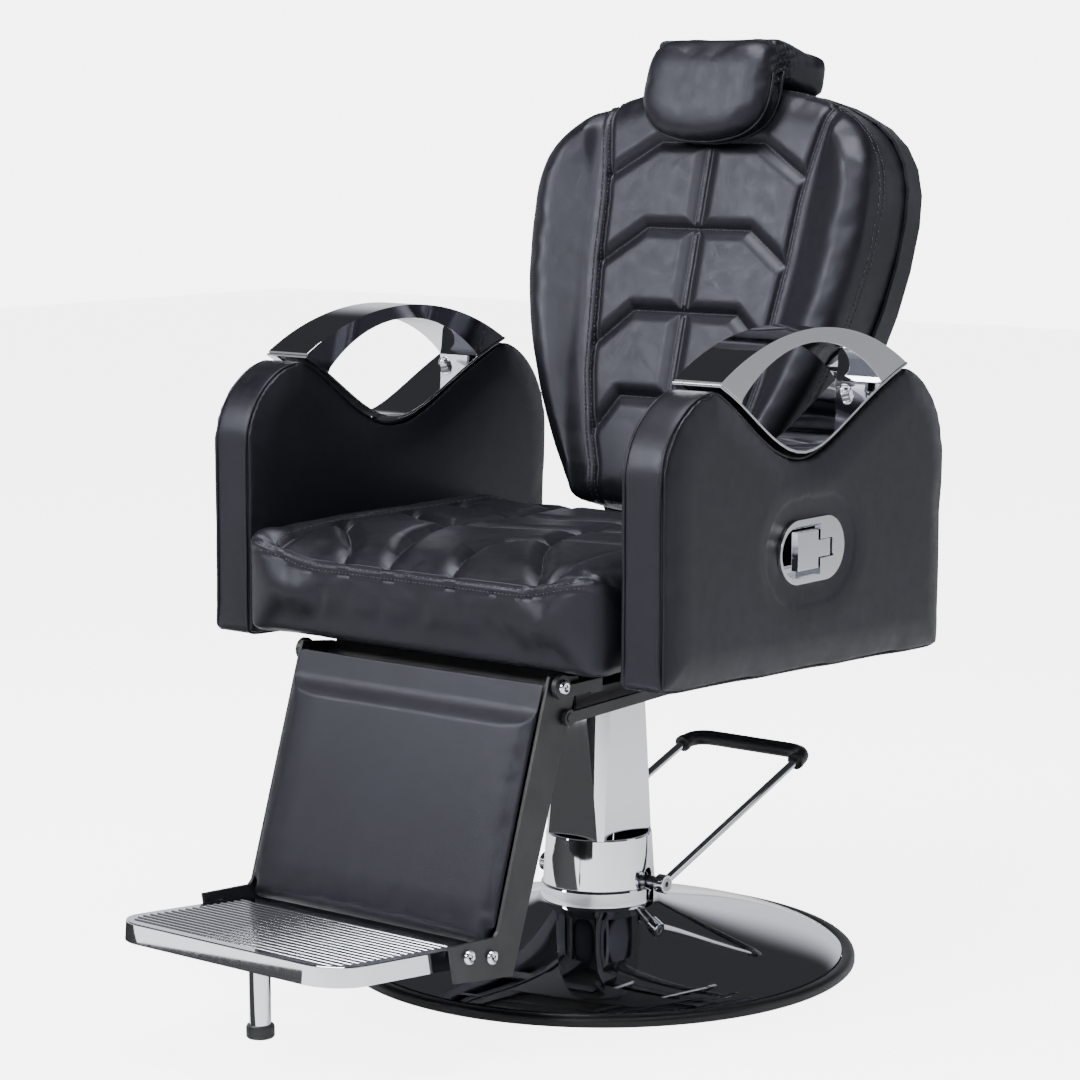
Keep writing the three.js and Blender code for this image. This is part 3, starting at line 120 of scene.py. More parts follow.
def studio():
    """Four softboxes, a low bright screen behind the chair and a white world for the camera."""
    softbox("softbox_right", (2.6, 1.4, 1.2), (0, 0, 0.5), (1.2, 2.0), 9)
    softbox("softbox_left", (-1.9, -2.9, 2.3), (0, 0, 0.6), (1.3, 1.1), 100)
    softbox("softbox_above", (0.2, -0.5, 3.2), (0, 0, 0.5), (2.2, 1.6), 120)
    softbox("softbox_front", (0.6, -3.6, 2.5), (0, 0, 0.7), (1.5, 1.1), 75)
    world = bpy.data.worlds.new("studio")
    bpy.context.scene.world = world
    world.use_nodes = True
    tree = world.node_tree
    tree.nodes.clear()
    way = add(tree, "TexCoord").outputs["Generated"]
    rear = add(tree, "VectorMath", {0: way, 1: (-0.45, 0.89, 0.0)}, operation="DOT_PRODUCT")
    height = add(tree, "SeparateXYZ", {0: way})
    behind = ranged(tree, rear.outputs["Value"], 0.3, 0.7, 0.3, 1.0, interpolation_type="SMOOTHSTEP")
    low = ranged(tree, height.outputs["Z"], 0.15, 0.42, 1.0, 0.0, interpolation_type="SMOOTHSTEP")
    screen = add(tree, "Math", {0: behind, 1: low}, operation="MULTIPLY")
    glow = ranged(tree, screen.outputs[0], 0.0, 1.0, 0.05, 1.15)
    seen = add(tree, "Background", {"Color": linear("#ffffff"), "Strength": 6.0})
    room = add(tree, "Background", {"Color": linear("#e6e9f0"), "Strength": glow})
    path = add(tree, "LightPath")
    both = add(tree, "MixShader", {0: path.outputs["Is Camera Ray"], 1: room.outputs[0],
                                   2: seen.outputs[0]})
    add(tree, "OutputWorld", {"Surface": both.outputs[0]})


def flag():
    """A black card on the floor before the chair, which only polished metal mirrors."""
    bm = bmesh.new()
    bmesh.ops.create_grid(bm, x_segments=1, y_segments=1, size=450, matrix=Matrix.Translation(
        (-640, -800, 1)) @ Matrix.Rotation(radians(-39), 4, "Z"))
    card = as_object("studio_flag", bm)
    card.data.materials.append(FLAG_CLOTH)
    card.visible_camera = card.visible_diffuse = card.visible_shadow = False


def floor():
    bm = bmesh.new()
    bmesh.ops.create_grid(bm, x_segments=1, y_segments=1, size=9000)
    ground = as_object("studio_floor", bm)
    ground.data.materials.append(FLOOR_PAINT)


# ------------------------------------------------------------ nodes and materials


def linear(code):
    """An sRGB hex colour as linear RGBA."""
    parts = [int(code[i:i + 2], 16) / 255 for i in (1, 3, 5)]
    return [p / 12.92 if p <= 0.04045 else ((p + 0.055) / 1.055) ** 2.4 for p in parts] + [1.0]


def add(tree, kind, inputs=None, **settings):
    """Adds a node. An input takes a value, or another node's output, which is linked to it."""
    made = tree.nodes.new("ShaderNode" + kind)
    for name, value in settings.items():
        setattr(made, name, value)
    for name, value in (inputs or {}).items():
        if isinstance(value, bpy.types.NodeSocket):
            tree.links.new(value, made.inputs[name])
        else:
            made.inputs[name].default_value = value
    return made


def started(name):
    """A new material with only its coordinates: (material, tree, object coordinates)."""
    material = bpy.data.materials.new(name)
    material.use_nodes = True
    tree = material.node_tree
    tree.nodes.clear()
    return material, tree, add(tree, "TexCoord").outputs["Object"]


def noise(tree, here, scale, detail, **more):
    return add(tree, "TexNoise", {"Vector": here, "Scale": scale, "Detail": detail, **more}).outputs["Fac"]


def ranged(tree, value, *ends, **settings):
    """A value carried from one range, the first two ends, to another."""
    return add(tree, "MapRange", {0: value, **dict(enumerate(ends, 1))}, **settings).outputs[0]


def toned(tree, value, dark, light, ends=(0, 1)):
    """A colour between two shades, the value at ends giving each."""
    ramp = add(tree, "ValToRGB", {"Fac": value})
    for stop, place, code in zip(ramp.color_ramp.elements, ends, (dark, light)):
        stop.position, stop.color = place, linear(code)
    return ramp.outputs[0]


def dented(tree, height, strength, depth, **more):
    """A bump normal, its full depth in millimetres."""
    return add(tree, "Bump", {"Height": height, "Strength": strength, "Distance": depth * MM,
                              **more}).outputs[0]


def closed(tree, looks):
    """Ends a material with one shader, which has these looks."""
    add(tree, "OutputMaterial", {"Surface": add(tree, "BsdfPrincipled", looks).outputs[0]})


def coated_leather(name, shade, light):
    """Polyurethane-coated upholstery leather: near black, with a soft blue-grey sheen, a fine
    pebble grain and slow changes of gloss where it is stretched."""
    material, tree, here = started(name)
    # the real grain is about 0.5 mm; it is drawn at 1.5 mm so that it shows
    pebble = add(tree, "TexVoronoi", {"Vector": here, "Scale": 1 / (1.5 * MM), "Randomness": 0.9},
                 feature="DISTANCE_TO_EDGE")
    crease = ranged(tree, pebble.outputs["Distance"], 0.0, 0.22, 0.0, 1.0,
                    interpolation_type="SMOOTHSTEP")
    stretch = noise(tree, here, 9.0, 3.0)
    rub = noise(tree, here, 60.0, 4.0, Roughness=0.6)
    grain = dented(tree, crease, 0.28, 0.12)
    closed(tree, {
        "Base Color": toned(tree, stretch, shade, light, (0.3, 0.72)),
        "Roughness": ranged(tree, rub, 0.3, 0.7, 0.37, 0.47), "IOR": 1.5,
        "Normal": dented(tree, rub, 0.25, 0.35, Normal=grain),
        "Specular IOR Level": 0.5, "Specular Tint": linear("#dfe1f2"),
        "Sheen Weight": 0.025, "Sheen Roughness": 0.45, "Sheen Tint": linear("#aab0c4")})
    return material


def bright_chrome():
    """Bright chrome plate on polished steel: a near-white mirror with a cool cast, a faint
    unevenness from polishing and a little haze."""
    material, tree, here = started("bright_chrome_plate")
    haze = noise(tree, here, 120.0, 4.0)
    closed(tree, {
        "Base Color": linear("#e6e7ec"), "Metallic": 1.0,
        "Roughness": ranged(tree, haze, 0.35, 0.75, 0.03, 0.05),
        "Normal": dented(tree, noise(tree, here, 14.0, 2.0), 0.1, 0.1)})
    return material


def moulded_rubber():
    """Moulded black rubber: deep black, satin, with a fine pitted skin and a dusty bloom."""
    material, tree, here = started("moulded_rubber")
    pits = noise(tree, here, 1 / (1.2 * MM), 2.0)
    closed(tree, {
        "Base Color": toned(tree, noise(tree, here, 25.0, 4.0), "#0d0e10", "#1d1e21"),
        "Roughness": 0.42, "IOR": 1.52, "Normal": dented(tree, pits, 0.35, 0.15)})
    return material


def powder_coat():
    """Black powder coat on steel: an even near-black with a slight orange-peel texture."""
    material, tree, here = started("powder_coated_steel")
    # real orange peel is 1 to 2 mm across
    peel = noise(tree, here, 1 / (1.6 * MM), 1.5)
    wear = noise(tree, here, 30.0, 5.0)
    closed(tree, {
        "Base Color": linear("#1a1b1f"), "Roughness": ranged(tree, wear, 0.3, 0.7, 0.36, 0.5),
        "IOR": 1.5, "Normal": dented(tree, peel, 0.3, 0.12)})
    return material


def zinc_plate():
    """Zinc-plated turned steel: a dull silver with faint tool marks round it."""
    material, tree, here = started("zinc_plated_steel")
    marks = noise(tree, here, 1 / (2.0 * MM), 3.0)
    closed(tree, {
        "Base Color": toned(tree, noise(tree, here, 35.0, 3.0), "#9b9ea2", "#c9cbcd"),
        "Metallic": 1.0, "Roughness": ranged(tree, marks, 0.2, 0.8, 0.24, 0.38)})
    return material


def stained_ply():
    """Birch plywood under black stain: brown-black, its veneers showing as thin lines."""
    material, tree, here = started("stained_birch_plywood")
    plies = add(tree, "TexWave", {"Vector": here, "Scale": 1 / (20 * 1.4 * MM), "Distortion": 1.5,
                                  "Detail": 2.0}, bands_direction="Z")
    closed(tree, {"Base Color": toned(tree, plies.outputs["Fac"], "#161412", "#2a2622"),
                  "Roughness": 0.75, "IOR": 1.5})
    return material


def moulded_nylon():
    """Moulded black nylon: dark grey, matt, with a fine spark-eroded texture."""
    material, tree, here = started("moulded_nylon")
    spark = noise(tree, here, 1 / (0.9 * MM), 2.0)
    closed(tree, {
        "Base Color": linear("#17181a"), "Roughness": ranged(tree, spark, 0.3, 0.7, 0.48, 0.6),
        "IOR": 1.53, "Normal": dented(tree, spark, 0.3, 0.1)})
    return material


def bonded_thread():
    """Bonded polyester thread: black, with grey diagonal bands painted on as a highlight where its plies
    would catch the light.
    """
    material, tree, here = started("bonded_thread")
    # grey diagonal bands: a painted highlight, not a colour of the thread
    twist_highlight = add(tree, "TexWave", {"Vector": here, "Scale": 1 / (20 * 0.8 * MM), "Distortion": 0.5},
                bands_direction="DIAGONAL")
    closed(tree, {"Base Color": toned(tree, twist_highlight.outputs["Fac"], "#1c1d22", "#4a4c55"),
                  "Roughness": 0.55, "IOR": 1.5})
    return material


def matt_paint():
    """Matt white studio paint, with the faint mottling of a roller."""
    material, tree, here = started("matt_studio_paint")
    seen = add(tree, "LightPath").outputs["Is Camera Ray"]
    closed(tree, {
        "Base Color": toned(tree, noise(tree, here, 3.0, 2.0), "#efeff1", "#f4f4f6"),
        "Roughness": 0.9, "Emission Color": linear("#ffffff"),
        "Emission Strength": ranged(tree, seen, 0.0, 1.0, 0.32, 5.0)})
    return material


def flag_cloth():
    """Black studio cloth with a faint nap."""
    material, tree, here = started("black_studio_cloth")
    closed(tree, {"Base Color": toned(tree, noise(tree, here, 40.0, 2.0), "#040405", "#0b0b0c"),
                  "Roughness": 0.95})
    return material


FLOOR_PAINT = matt_paint()
FLAG_CLOTH = flag_cloth()
LEATHER = coated_leather("coated_leather", "#0c0c10", "#121218")
PIPING = coated_leather("coated_leather_piping", "#08090b", "#0f1013")
THREAD = bonded_thread()
FINISH = {
    "black_leather": LEATHER, "chrome": bright_chrome(), "black_rubber": moulded_rubber(),
    "black_steel": powder_coat(), "bare_steel": zinc_plate(), "plywood": stained_ply(),
    "black_nylon": moulded_nylon(),
}
SLOT_OF = {s["node"]: s["material_slot"] for s in frame["record"]["subparts"]}

# ------------------------------------------------------------ making meshes


def opened(mesh):
    """A mesh in metres as a bmesh in millimetres."""
    bm = bmesh.new()
    bm.from_mesh(mesh)
    bm.transform(Matrix.Scale(1 / MM, 4))
    return bm


def as_object(name, bm):
    """Turns a bmesh in millimetres into an object in metres, and frees it."""
    mesh = bpy.data.meshes.new(name)
    bm.transform(Matrix.Scale(MM, 4))
    bm.to_mesh(mesh)
    bm.free()
    made = bpy.data.objects.new(name, mesh)
    bpy.context.scene.collection.objects.link(made)
    return made


def shaded(bm, crease):
    """Smooth faces, with a sharp edge wherever two faces turn by more than crease degrees."""
    for face in bm.faces:
        face.smooth = True
    if crease >= 180:
        return
    limit = radians(crease)
    for edge in bm.edges:
        edge.smooth = not (len(edge.link_faces) == 2 and edge.calc_face_angle(0) > limit)


def piece(name, bm, body, slot, stands_for=(), place=None, crease=32, finish=None):
    """Finishes a bmesh as a shown piece: placed, shaded, with its material and its body."""
    if place is not None:
        bm.transform(place)
    bm.normal_update()
    bmesh.ops.recalc_face_normals(bm, faces=bm.faces)
    shaded(bm, crease)
    made = as_object(name, bm)
    made.data.materials.append(finish or FINISH[slot])
    if finish is None and crease < 180:
        level = made.modifiers.new("Level", "WEIGHTED_NORMAL")
        level.keep_sharp, level.weight = True, 100
        applied(made)
    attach(made, body)
    if stands_for:
        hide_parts(*stands_for)
    return made


def outward(bm):
    bmesh.ops.remove_doubles(bm, verts=bm.verts, dist=0.01)
    bmesh.ops.recalc_face_normals(bm, faces=bm.faces)
    return bm


def prism(outline, depth):
    """A flat outline of points, pulled along depth into a closed solid."""
    bm = bmesh.new()
    face = bm.faces.new([bm.verts.new(p) for p in outline])
    made = bmesh.ops.extrude_face_region(bm, geom=[face], use_keep_orig=False)
    top = [g for g in made["geom"] if isinstance(g, bmesh.types.BMVert)]
    bmesh.ops.translate(bm, verts=top, vec=depth)
    if not any(len(f.verts) == len(outline) and f not in made["geom"] for f in bm.faces):
        bm.faces.new([v for v in bm.verts if v not in top][:len(outline)])
    return outward(bm)


def box(low, high):
    bm = bmesh.new()
    size = Vector(high) - Vector(low)
    middle = (Vector(high) + Vector(low)) / 2
    bmesh.ops.create_cube(bm, size=1, matrix=Matrix.Translation(middle) @ Matrix.Diagonal((*size, 1)))
    return bm


def turned(profile, steps=96, shut=True):
    """A profile of (radius, height) points, spun once round the Z axis."""
    bm = bmesh.new()
    verts = [bm.verts.new((r, 0, z)) for r, z in profile]
    pairs = list(zip(verts, verts[1:])) + ([(verts[-1], verts[0])] if shut else [])
    edges = [bm.edges.new(p) for p in pairs]
    bmesh.ops.spin(bm, geom=verts + edges, cent=(0, 0, 0), axis=(0, 0, 1), dvec=(0, 0, 0),
                   angle=2 * pi, steps=steps, use_merge=True, use_duplicate=False)
    return outward(bm)


def bevelled(bm, edges, width, segments, clamp=False):
    bmesh.ops.bevel(bm, geom=edges, offset=width, offset_type="OFFSET", segments=segments,
                    profile=0.5, affect="EDGES", material=-1, clamp_overlap=clamp)
    return bm


def rounded(bm, width, segments=2, over=40):
    """Rounds the edges where two faces turn by more than over degrees."""
    limit = radians(over)
    sharp = [e for e in bm.edges if len(e.link_faces) == 2 and e.calc_face_angle(0) > limit]
    return bevelled(bm, sharp, width, segments, clamp=True)


def joined(first, *others):
    """Adds other solids to the first mesh, each still a closed shell of its own."""
    for other in others:
        mesh = bpy.data.meshes.new("part")
        other.to_mesh(mesh)
        other.free()
        first.from_mesh(mesh)
        bpy.data.meshes.remove(mesh)
    return first


def tube(points, radius, looped=False, roundness=4):
    """A round bar along points, its ends capped."""
    line = bpy.data.curves.new("line", "CURVE")
    line.dimensions, line.bevel_depth, line.bevel_resolution = "3D", radius, roundness
    line.use_fill_caps = not looped
    spline = line.splines.new("POLY")
    spline.points.add(len(points) - 1)
    for knot, p in zip(spline.points, points):
        knot.co = (*p, 1)
    spline.use_cyclic_u = looped
    holder = bpy.data.objects.new("line", line)
    bpy.context.scene.collection.objects.link(holder)
    bpy.context.view_layer.update()
    mesh = bpy.data.meshes.new_from_object(holder.evaluated_get(
        bpy.context.evaluated_depsgraph_get()))
    bm = bmesh.new()
    bm.from_mesh(mesh)
    bpy.data.objects.remove(holder)
    bpy.data.curves.remove(line)
    bpy.data.meshes.remove(mesh)
    return outward(bm)


def bezier(start, first, second, end, count):
    curve = interpolate_bezier(Vector((*start, 0)), Vector((*first, 0)), Vector((*second, 0)),
                               Vector((*end, 0)), count)
    return [(p.x, p.y) for p in curve]


def inset(outline, amount):
    """A closed outline drawn inside another by amount; its points run anticlockwise."""
    flat = np.array(outline, float)
    ahead = np.roll(flat, -1, 0) - flat
    ahead /= np.linalg.norm(ahead, axis=1)[:, None]
    turn = ahead + np.roll(ahead, 1, 0)
    turn /= np.linalg.norm(turn, axis=1)[:, None]
    across = np.stack([-turn[:, 1], turn[:, 0]], 1)
    share = np.clip(np.sum(turn * ahead, 1), 0.5, 1)
    return [tuple(p) for p in flat + across * (amount / share)[:, None]]


def evened(points, step, looped=False):
    """The same line with points every step along it."""
    line = np.array(points + points[:1] if looped else points, float)
    lengths = np.linalg.norm(np.diff(line, axis=0), axis=1)
    along = np.concatenate([[0], np.cumsum(lengths)])
    count = max(2, int(round(along[-1] / step)))
    stations = np.linspace(0, along[-1], count, endpoint=not looped)
    columns = [np.interp(stations, along, line[:, i]) for i in range(line.shape[1])]
    return [tuple(p) for p in np.stack(columns, 1)]


def cad_solid(node, whole=True):
    """A welded copy of a CAD node, in millimetres, its flat faces made whole again."""
    bm = opened(frame["nodes"][node].data)
    bmesh.ops.remove_doubles(bm, verts=bm.verts, dist=0.02)
    if whole:
        bmesh.ops.dissolve_limit(bm, angle_limit=radians(0.6), verts=bm.verts, edges=bm.edges)
    return bm


def body_of(node):
    return frame["nodes"][node]["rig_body"]


def sound(bm):
    """Whether every edge joins two faces and the solid faces out."""
    return all(len(e.link_faces) == 2 for e in bm.edges) and bm.calc_volume() > 0


def dressed(node, slot, width, segments=2, over=40):
    """A CAD node's own shape with its edges rounded as far as they take it, shown in its place."""
    for share in (1, 0.5, 0.25):
        bm = outward(rounded(cad_solid(node), width * share, segments, over))
        if sound(bm):
            break
        bm.free()
    else:
        bm = cad_solid(node, whole=False)
    return piece(node + "_finished", bm, body_of(node), slot, [node])


# ------------------------------------------------------------ stuffed pads


def points_of(mesh):
    flat = np.empty(len(mesh.vertices) * 3, np.float32)
    mesh.vertices.foreach_get("co", flat)
    return flat.reshape(-1, 3).astype(float) / MM


def move_points(mesh, points):
    mesh.vertices.foreach_set("co", (points * MM).astype(np.float32).ravel())
    mesh.update()


def applied(obj):
    """Applies an object's modifiers to its mesh."""
    mesh = bpy.data.meshes.new_from_object(obj.evaluated_get(bpy.context.evaluated_depsgraph_get()))
    obj.modifiers.clear()
    old, obj.data = obj.data, mesh
    bpy.data.meshes.remove(old)


SIM_FRAMES = 20


def stuffed(bm, voxel, swell, pressure=4.0, calm=2):
    """Blows a closed pad up like foam under its cover, no point moving further than swell."""
    pad = as_object("pad", bm)
    remesh = pad.modifiers.new("Remesh", "REMESH")
    remesh.mode, remesh.voxel_size = "VOXEL", voxel * MM
    applied(pad)
    rest = points_of(pad.data)
    cloth = pad.modifiers.new("Cloth", "CLOTH")
    cloth.settings.quality = 4
    cloth.settings.mass = 0.3
    cloth.settings.use_pressure = True
    cloth.settings.uniform_pressure_force = pressure
    cloth.settings.effector_weights.gravity = 0
    cloth.collision_settings.use_collision = False
    for step in range(1, SIM_FRAMES + 1):
        bpy.context.scene.frame_set(step)
    blown = pad.evaluated_get(bpy.context.evaluated_depsgraph_get())
    moved = points_of(blown.data) - rest
    reach = np.maximum(np.linalg.norm(moved, axis=1), 1e-6)[:, None]
    pad.modifiers.clear()
    move_points(pad.data, rest + moved * np.minimum(1, swell / reach))
    bpy.context.scene.frame_set(1)
    ease = pad.modifiers.new("Ease", "SMOOTH")
    ease.factor, ease.iterations = 0.5, calm
    once = pad.modifiers.new("Once", "SUBSURF")
    once.levels = once.render_levels = 1
    applied(pad)
    return pad


def split_near(pad, near):
    """Halves the edges of a pad wherever near(points) says that a seam runs close by."""
    bm = bmesh.new()
    bm.from_mesh(pad.data)
    close = near(points_of(pad.data))
    edges = [e for e in bm.edges if close[e.verts[0].index] and close[e.verts[1].index]]
    bmesh.ops.subdivide_edges(bm, edges=edges, cuts=1, use_grid_fill=True)
    bm.to_mesh(pad.data)
    bm.free()


def upholstered(pad, name, body, stands_for, place, shape):
    move_points(pad.data, shape(points_of(pad.data)))
    bm = opened(pad.data)
    bpy.data.objects.remove(pad)
    made = piece(name, bm, body, "black_leather", stands_for, place, crease=180)
    return made


def ringed(line):
    return line + line[:1]


def to_lines(flat, lines):
    """How far each point of an (n, 2) array is from the nearest of some polylines."""
    nearest = np.full(len(flat), 1e9)
    for line in lines:
        for a, b in zip(line, line[1:]):
            a, b = np.array(a, float), np.array(b, float)
            along = np.clip(((flat - a) @ (b - a)) / max((b - a) @ (b - a), 1e-9), 0, 1)
            nearest = np.minimum(nearest, np.linalg.norm(flat - a - along[:, None] * (b - a), axis=1))
    return nearest


def eased(t):
    t = np.clip(t, 0, 1)
    return t * t * (3 - 2 * t)


def valley(distance, width, depth, power=2.0):
    """How far a stitched-down channel pulls the cover in, at a distance from its thread."""
    return -depth * np.clip(1 - distance / width, 0, 1) ** power


def surface_of(obj, place=None):
    """A search tree of a finished piece, in the millimetre axes that place came from."""
    bm = opened(obj.data)
    if place is not None:
        bm.transform(place.inverted())
    tree = BVHTree.FromBMesh(bm)
    bm.free()
    return tree


def laid(points, tree, down=None):
    """Puts a line on a surface, straight along down or at the nearest place: (point, normal)."""
    out = []
    for p in points:
        if down is None:
            spot, normal, _, _ = tree.find_nearest(Vector(p))
        else:
            spot, normal, _, _ = tree.ray_cast(Vector(p) - Vector(down) * 200, Vector(down))
        if spot is not None:
            out.append((spot, normal))
    return out


def piped(spots, proud, radius, looped=False):
    """A round cord along a line laid on a surface, drawn taut over its small dents."""
    line = np.array([p + n * proud for p, n in spots])
    for _ in range(6):
        middle = (np.roll(line, 1, 0) + line + np.roll(line, -1, 0)) / 3
        if not looped:
            middle[0], middle[-1] = line[0], line[-1]
        line = middle
    return tube([Vector(p) for p in line], radius, looped)


STITCH_PITCH = 5.0      # real stitches are 3.5 mm apart; drawn longer so that they show
STITCH_LENGTH = 3.6
THREAD_RADIUS = 0.55


def sewn(bm, line, stitch, scratch):
    """Adds a copy of a stitch at each point of a line laid on a surface."""
    for (before, _), (here, normal), (after, _) in zip(line, line[1:], line[2:]):
        ahead = (after - before)
        if ahead.length < 1e-6 or ahead.length > 4 * STITCH_PITCH:
            continue
        ahead.normalize()
        side = normal.cross(ahead).normalized()
        up = ahead.cross(side)
        turn = Matrix((ahead, side, up)).transposed().to_4x4()
        size = Matrix.Diagonal((STITCH_LENGTH / 2, THREAD_RADIUS, THREAD_RADIUS, 1))
        made = stitch.copy()
        made.transform(Matrix.Translation(here + normal * THREAD_RADIUS * 0.45) @ turn @ size)
        made.to_mesh(scratch)
        made.free()
        bm.from_mesh(scratch)


def stitching(name, rows, body, place=None):
    """All the stitches of a piece as one mesh. A row is (points, surface, down)."""
    bm, stitch, scratch = bmesh.new(), bmesh.new(), bpy.data.meshes.new("stitch")
    bmesh.ops.create_uvsphere(stitch, u_segments=6, v_segments=4, radius=1)
    for points, tree, down in rows:
        sewn(bm, laid(evened(points, STITCH_PITCH), tree, down), stitch, scratch)
    stitch.free()
    bpy.data.meshes.remove(scratch)
    return piece(name, bm, body, "black_leather", place=place, crease=80, finish=THREAD)


# ------------------------------------------------------------ base and pedal


def base():
    rim = [(285, 0.4), (298.6, 0.4), (300, 1.8), (300, 6.5), (299.2, 9.2), (297, 11.2), (294, 12),
           (290, 12), (286.6, 11.4), (285, 10)]
    piece("base_rim_rubber", turned(rim, 128), "base", "black_rubber", ["base_ring"])
    slope = bezier((284.2, 12), (250.1, 34.4), (130.7, 48.6), (70, 71), 40)
    outer = [(284.2, 8.3)] + slope + [(58, 71)]
    inner = [(58, 69)] + [(r, z - 2.1) for r, z in reversed(slope[1:])] + [(281, 8.3)]
    piece("base_dome_plated", turned(outer + inner, 160), "base", "chrome", ["base_dome"])


def column_cover():
    """The pressed cover: a plain foot, a taper with four flats and a slot at each side."""
    foot = turned([(65.8, COVER_FOOT), (67.4, COVER_FOOT), (68, 72.2), (68, 88.4), (67.2, 90),
                   (65.9, 90.4), (65.5, 91.5), (61.9, FLAT_START - 1.2), (61.2, FLAT_START),
                   (58, FLAT_START), (63.2, 91)], 160)
    blank = turned([(0.0, FLAT_START - 8), (62, FLAT_START - 8), (52.5, COVER_TOP - 1),
                    (51.6, COVER_TOP), (0.0, COVER_TOP)], 160, shut=False)
    for normal, reach in (((1, 0, 0), 42), ((-1, 0, 0), 42), ((0, 1, 0), 50), ((0, -1, 0), 50)):
        cut = bmesh.ops.bisect_plane(blank, geom=blank.verts[:] + blank.edges[:] + blank.faces[:],
                                     plane_co=Vector(normal) * reach, plane_no=normal,
                                     clear_outer=True)
        rim = [e for e in cut["geom_cut"] if isinstance(e, bmesh.types.BMEdge)]
        bmesh.ops.contextual_create(blank, geom=rim)
    outward(blank)
    rounded(blank, 1.6, 3, 15)
    cover = as_object("cover", joined(foot, blank))
    slot = [(SHAFT_Y - 9, COVER_FOOT - 5), (SHAFT_Y + 9, COVER_FOOT - 5)]
    slot += [(SHAFT_Y + 9 * cos(a * pi / 12), 103 + 9 * sin(a * pi / 12)) for a in range(13)]
    cutter = as_object("cutter", prism([(-90, y, z) for y, z in slot], (180, 0, 0)))
    saw = cover.modifiers.new("Slot", "BOOLEAN")
    saw.object, saw.operation, saw.solver = cutter, "DIFFERENCE", "EXACT"
    applied(cover)
    bpy.data.objects.remove(cutter)
    bm = opened(cover.data)
    bpy.data.objects.remove(cover)
    outward(bm)
    bmesh.ops.holes_fill(bm, edges=bm.edges, sides=0)
    piece("column_cover_plated", bm, "base", "chrome", ["column_cover"], crease=24)


PEDAL_ARM, PEDAL_REACH, PEDAL_TIP = 85, 280, 195     # half span, and the arms' far ends
PEDAL_ROD, GRIP_RADIUS, COLLAR_RADIUS = 5, 9.3, 10.6


def pedal():
    bends = [(PEDAL_ARM, 0, 0), (PEDAL_ARM, 12.6, 3.3), (80, 22.2, 5.1), (68, 29.1, 6), (51, 30, 6)]
    corner = [(x, PEDAL_REACH + y, PEDAL_TIP + z) for x, y, z in bends]
    half = evened([tuple(p) for p in smoothed(corner)], 2.5)
    whole = half + [(-x, y, z) for x, y, z in reversed(half)]
    ends = [(side * PEDAL_ARM, SHAFT_Y + 9, SHAFT_Z + 3.3) for side in (1, -1)]
    frame_bar = tube(ends[:1] + whole + ends[1:], PEDAL_ROD, roundness=6)
    for side in (1, -1):
        eye = turned([(7.4, -6), (10.2, -6), (11, -5.2), (11, 5.2), (10.2, 6), (7.4, 6)], 48)
        eye.transform(Matrix.Translation((PEDAL_ARM * side, SHAFT_Y, SHAFT_Z))
                      @ Matrix.Rotation(pi / 2, 4, "Y"))
        joined(frame_bar, eye)
    piece("pedal_bar_plated", frame_bar, "pedal", "chrome", ["pedal_bar"])
    sleeve = tube(evened(whole, 4), GRIP_RADIUS, roundness=6)
    for end, inward in ((0, 1), (-1, -2)):
        tip = Vector(whole[end])
        along = (Vector(whole[inward]) - tip).normalized()
        collar = tube([tip - along * 0.5, tip + along * 5.5], COLLAR_RADIUS, roundness=6)
        joined(sleeve, rounded(collar, 1, 2))
    piece("pedal_grip_rubber", sleeve, "pedal", "black_rubber", ["pedal_grip"])


def smoothed(points, rounds=3):
    """Cuts the corners off a line until it runs smoothly, its ends kept."""
    line = [Vector(p) for p in points]
    for _ in range(rounds):
        cut = [line[0]]
        for a, b in zip(line, line[1:]):
            cut += [a * 0.75 + b * 0.25, a * 0.25 + b * 0.75]
        line = cut + [line[-1]]
    return line


# ------------------------------------------------------------ seat

SEAT_X, SEAT_FRONT, SEAT_REAR = 257, -332, 146
SEAT_BOTTOM, SEAT_TOP = 405, 499
SEAT_SEAMS = (-200, 187)            # where the two side rolls are sewn to the middle
CHANNEL_WIDTH, CHANNEL_DEPTH = 21, 12       # of the stitched grooves between the stuffed rolls
SEAT_REAR_DROP = 24                         # the top falls away under the back
FROM_ABOVE, FROM_AHEAD = 600, 90            # clear of the seat and the back; stitches are cast from there
SEAT_CHANNELS = [
    [(-37, -333), (-45, -300), (-75, -240), (-95, -182), (-99, -148), (-88, -50), (-95, 40), (-88, 140)],
    [(51, -333), (49, -308), (30, -258), (37, -210), (64, -171), (53, -99), (60, -10), (55, 80), (60, 140)],
    [(170, -333), (158, -304), (104, -233), (64, -171)],
    [(-102, -333), (-112, -302), (-150, -262), (-200, -215)],
    [(-99, -148), (-148, -132), (-200, -100)],
    [(-99, -148), (-41, -138), (53, -99)],
    [(-88, -50), (-140, -30), (-200, -15)],
    [(-88, -50), (-20, -40), (60, -10)],
    [(-95, 40), (-200, 72)],
    [(-95, 40), (-15, 52), (55, 80)],
    [(53, -99), (120, -76), (187, -60)],
    [(60, -10), (187, 28)],
    [(55, 80), (187, 112)],
    [(64, -171), (130, -160), (187, -150)],
]


def seat_rim(x):
    """Height of the front seam, which runs low in the middle and up to the corners."""
    return 489.5 + 17 * eased((np.abs(x) - 140) / 100)


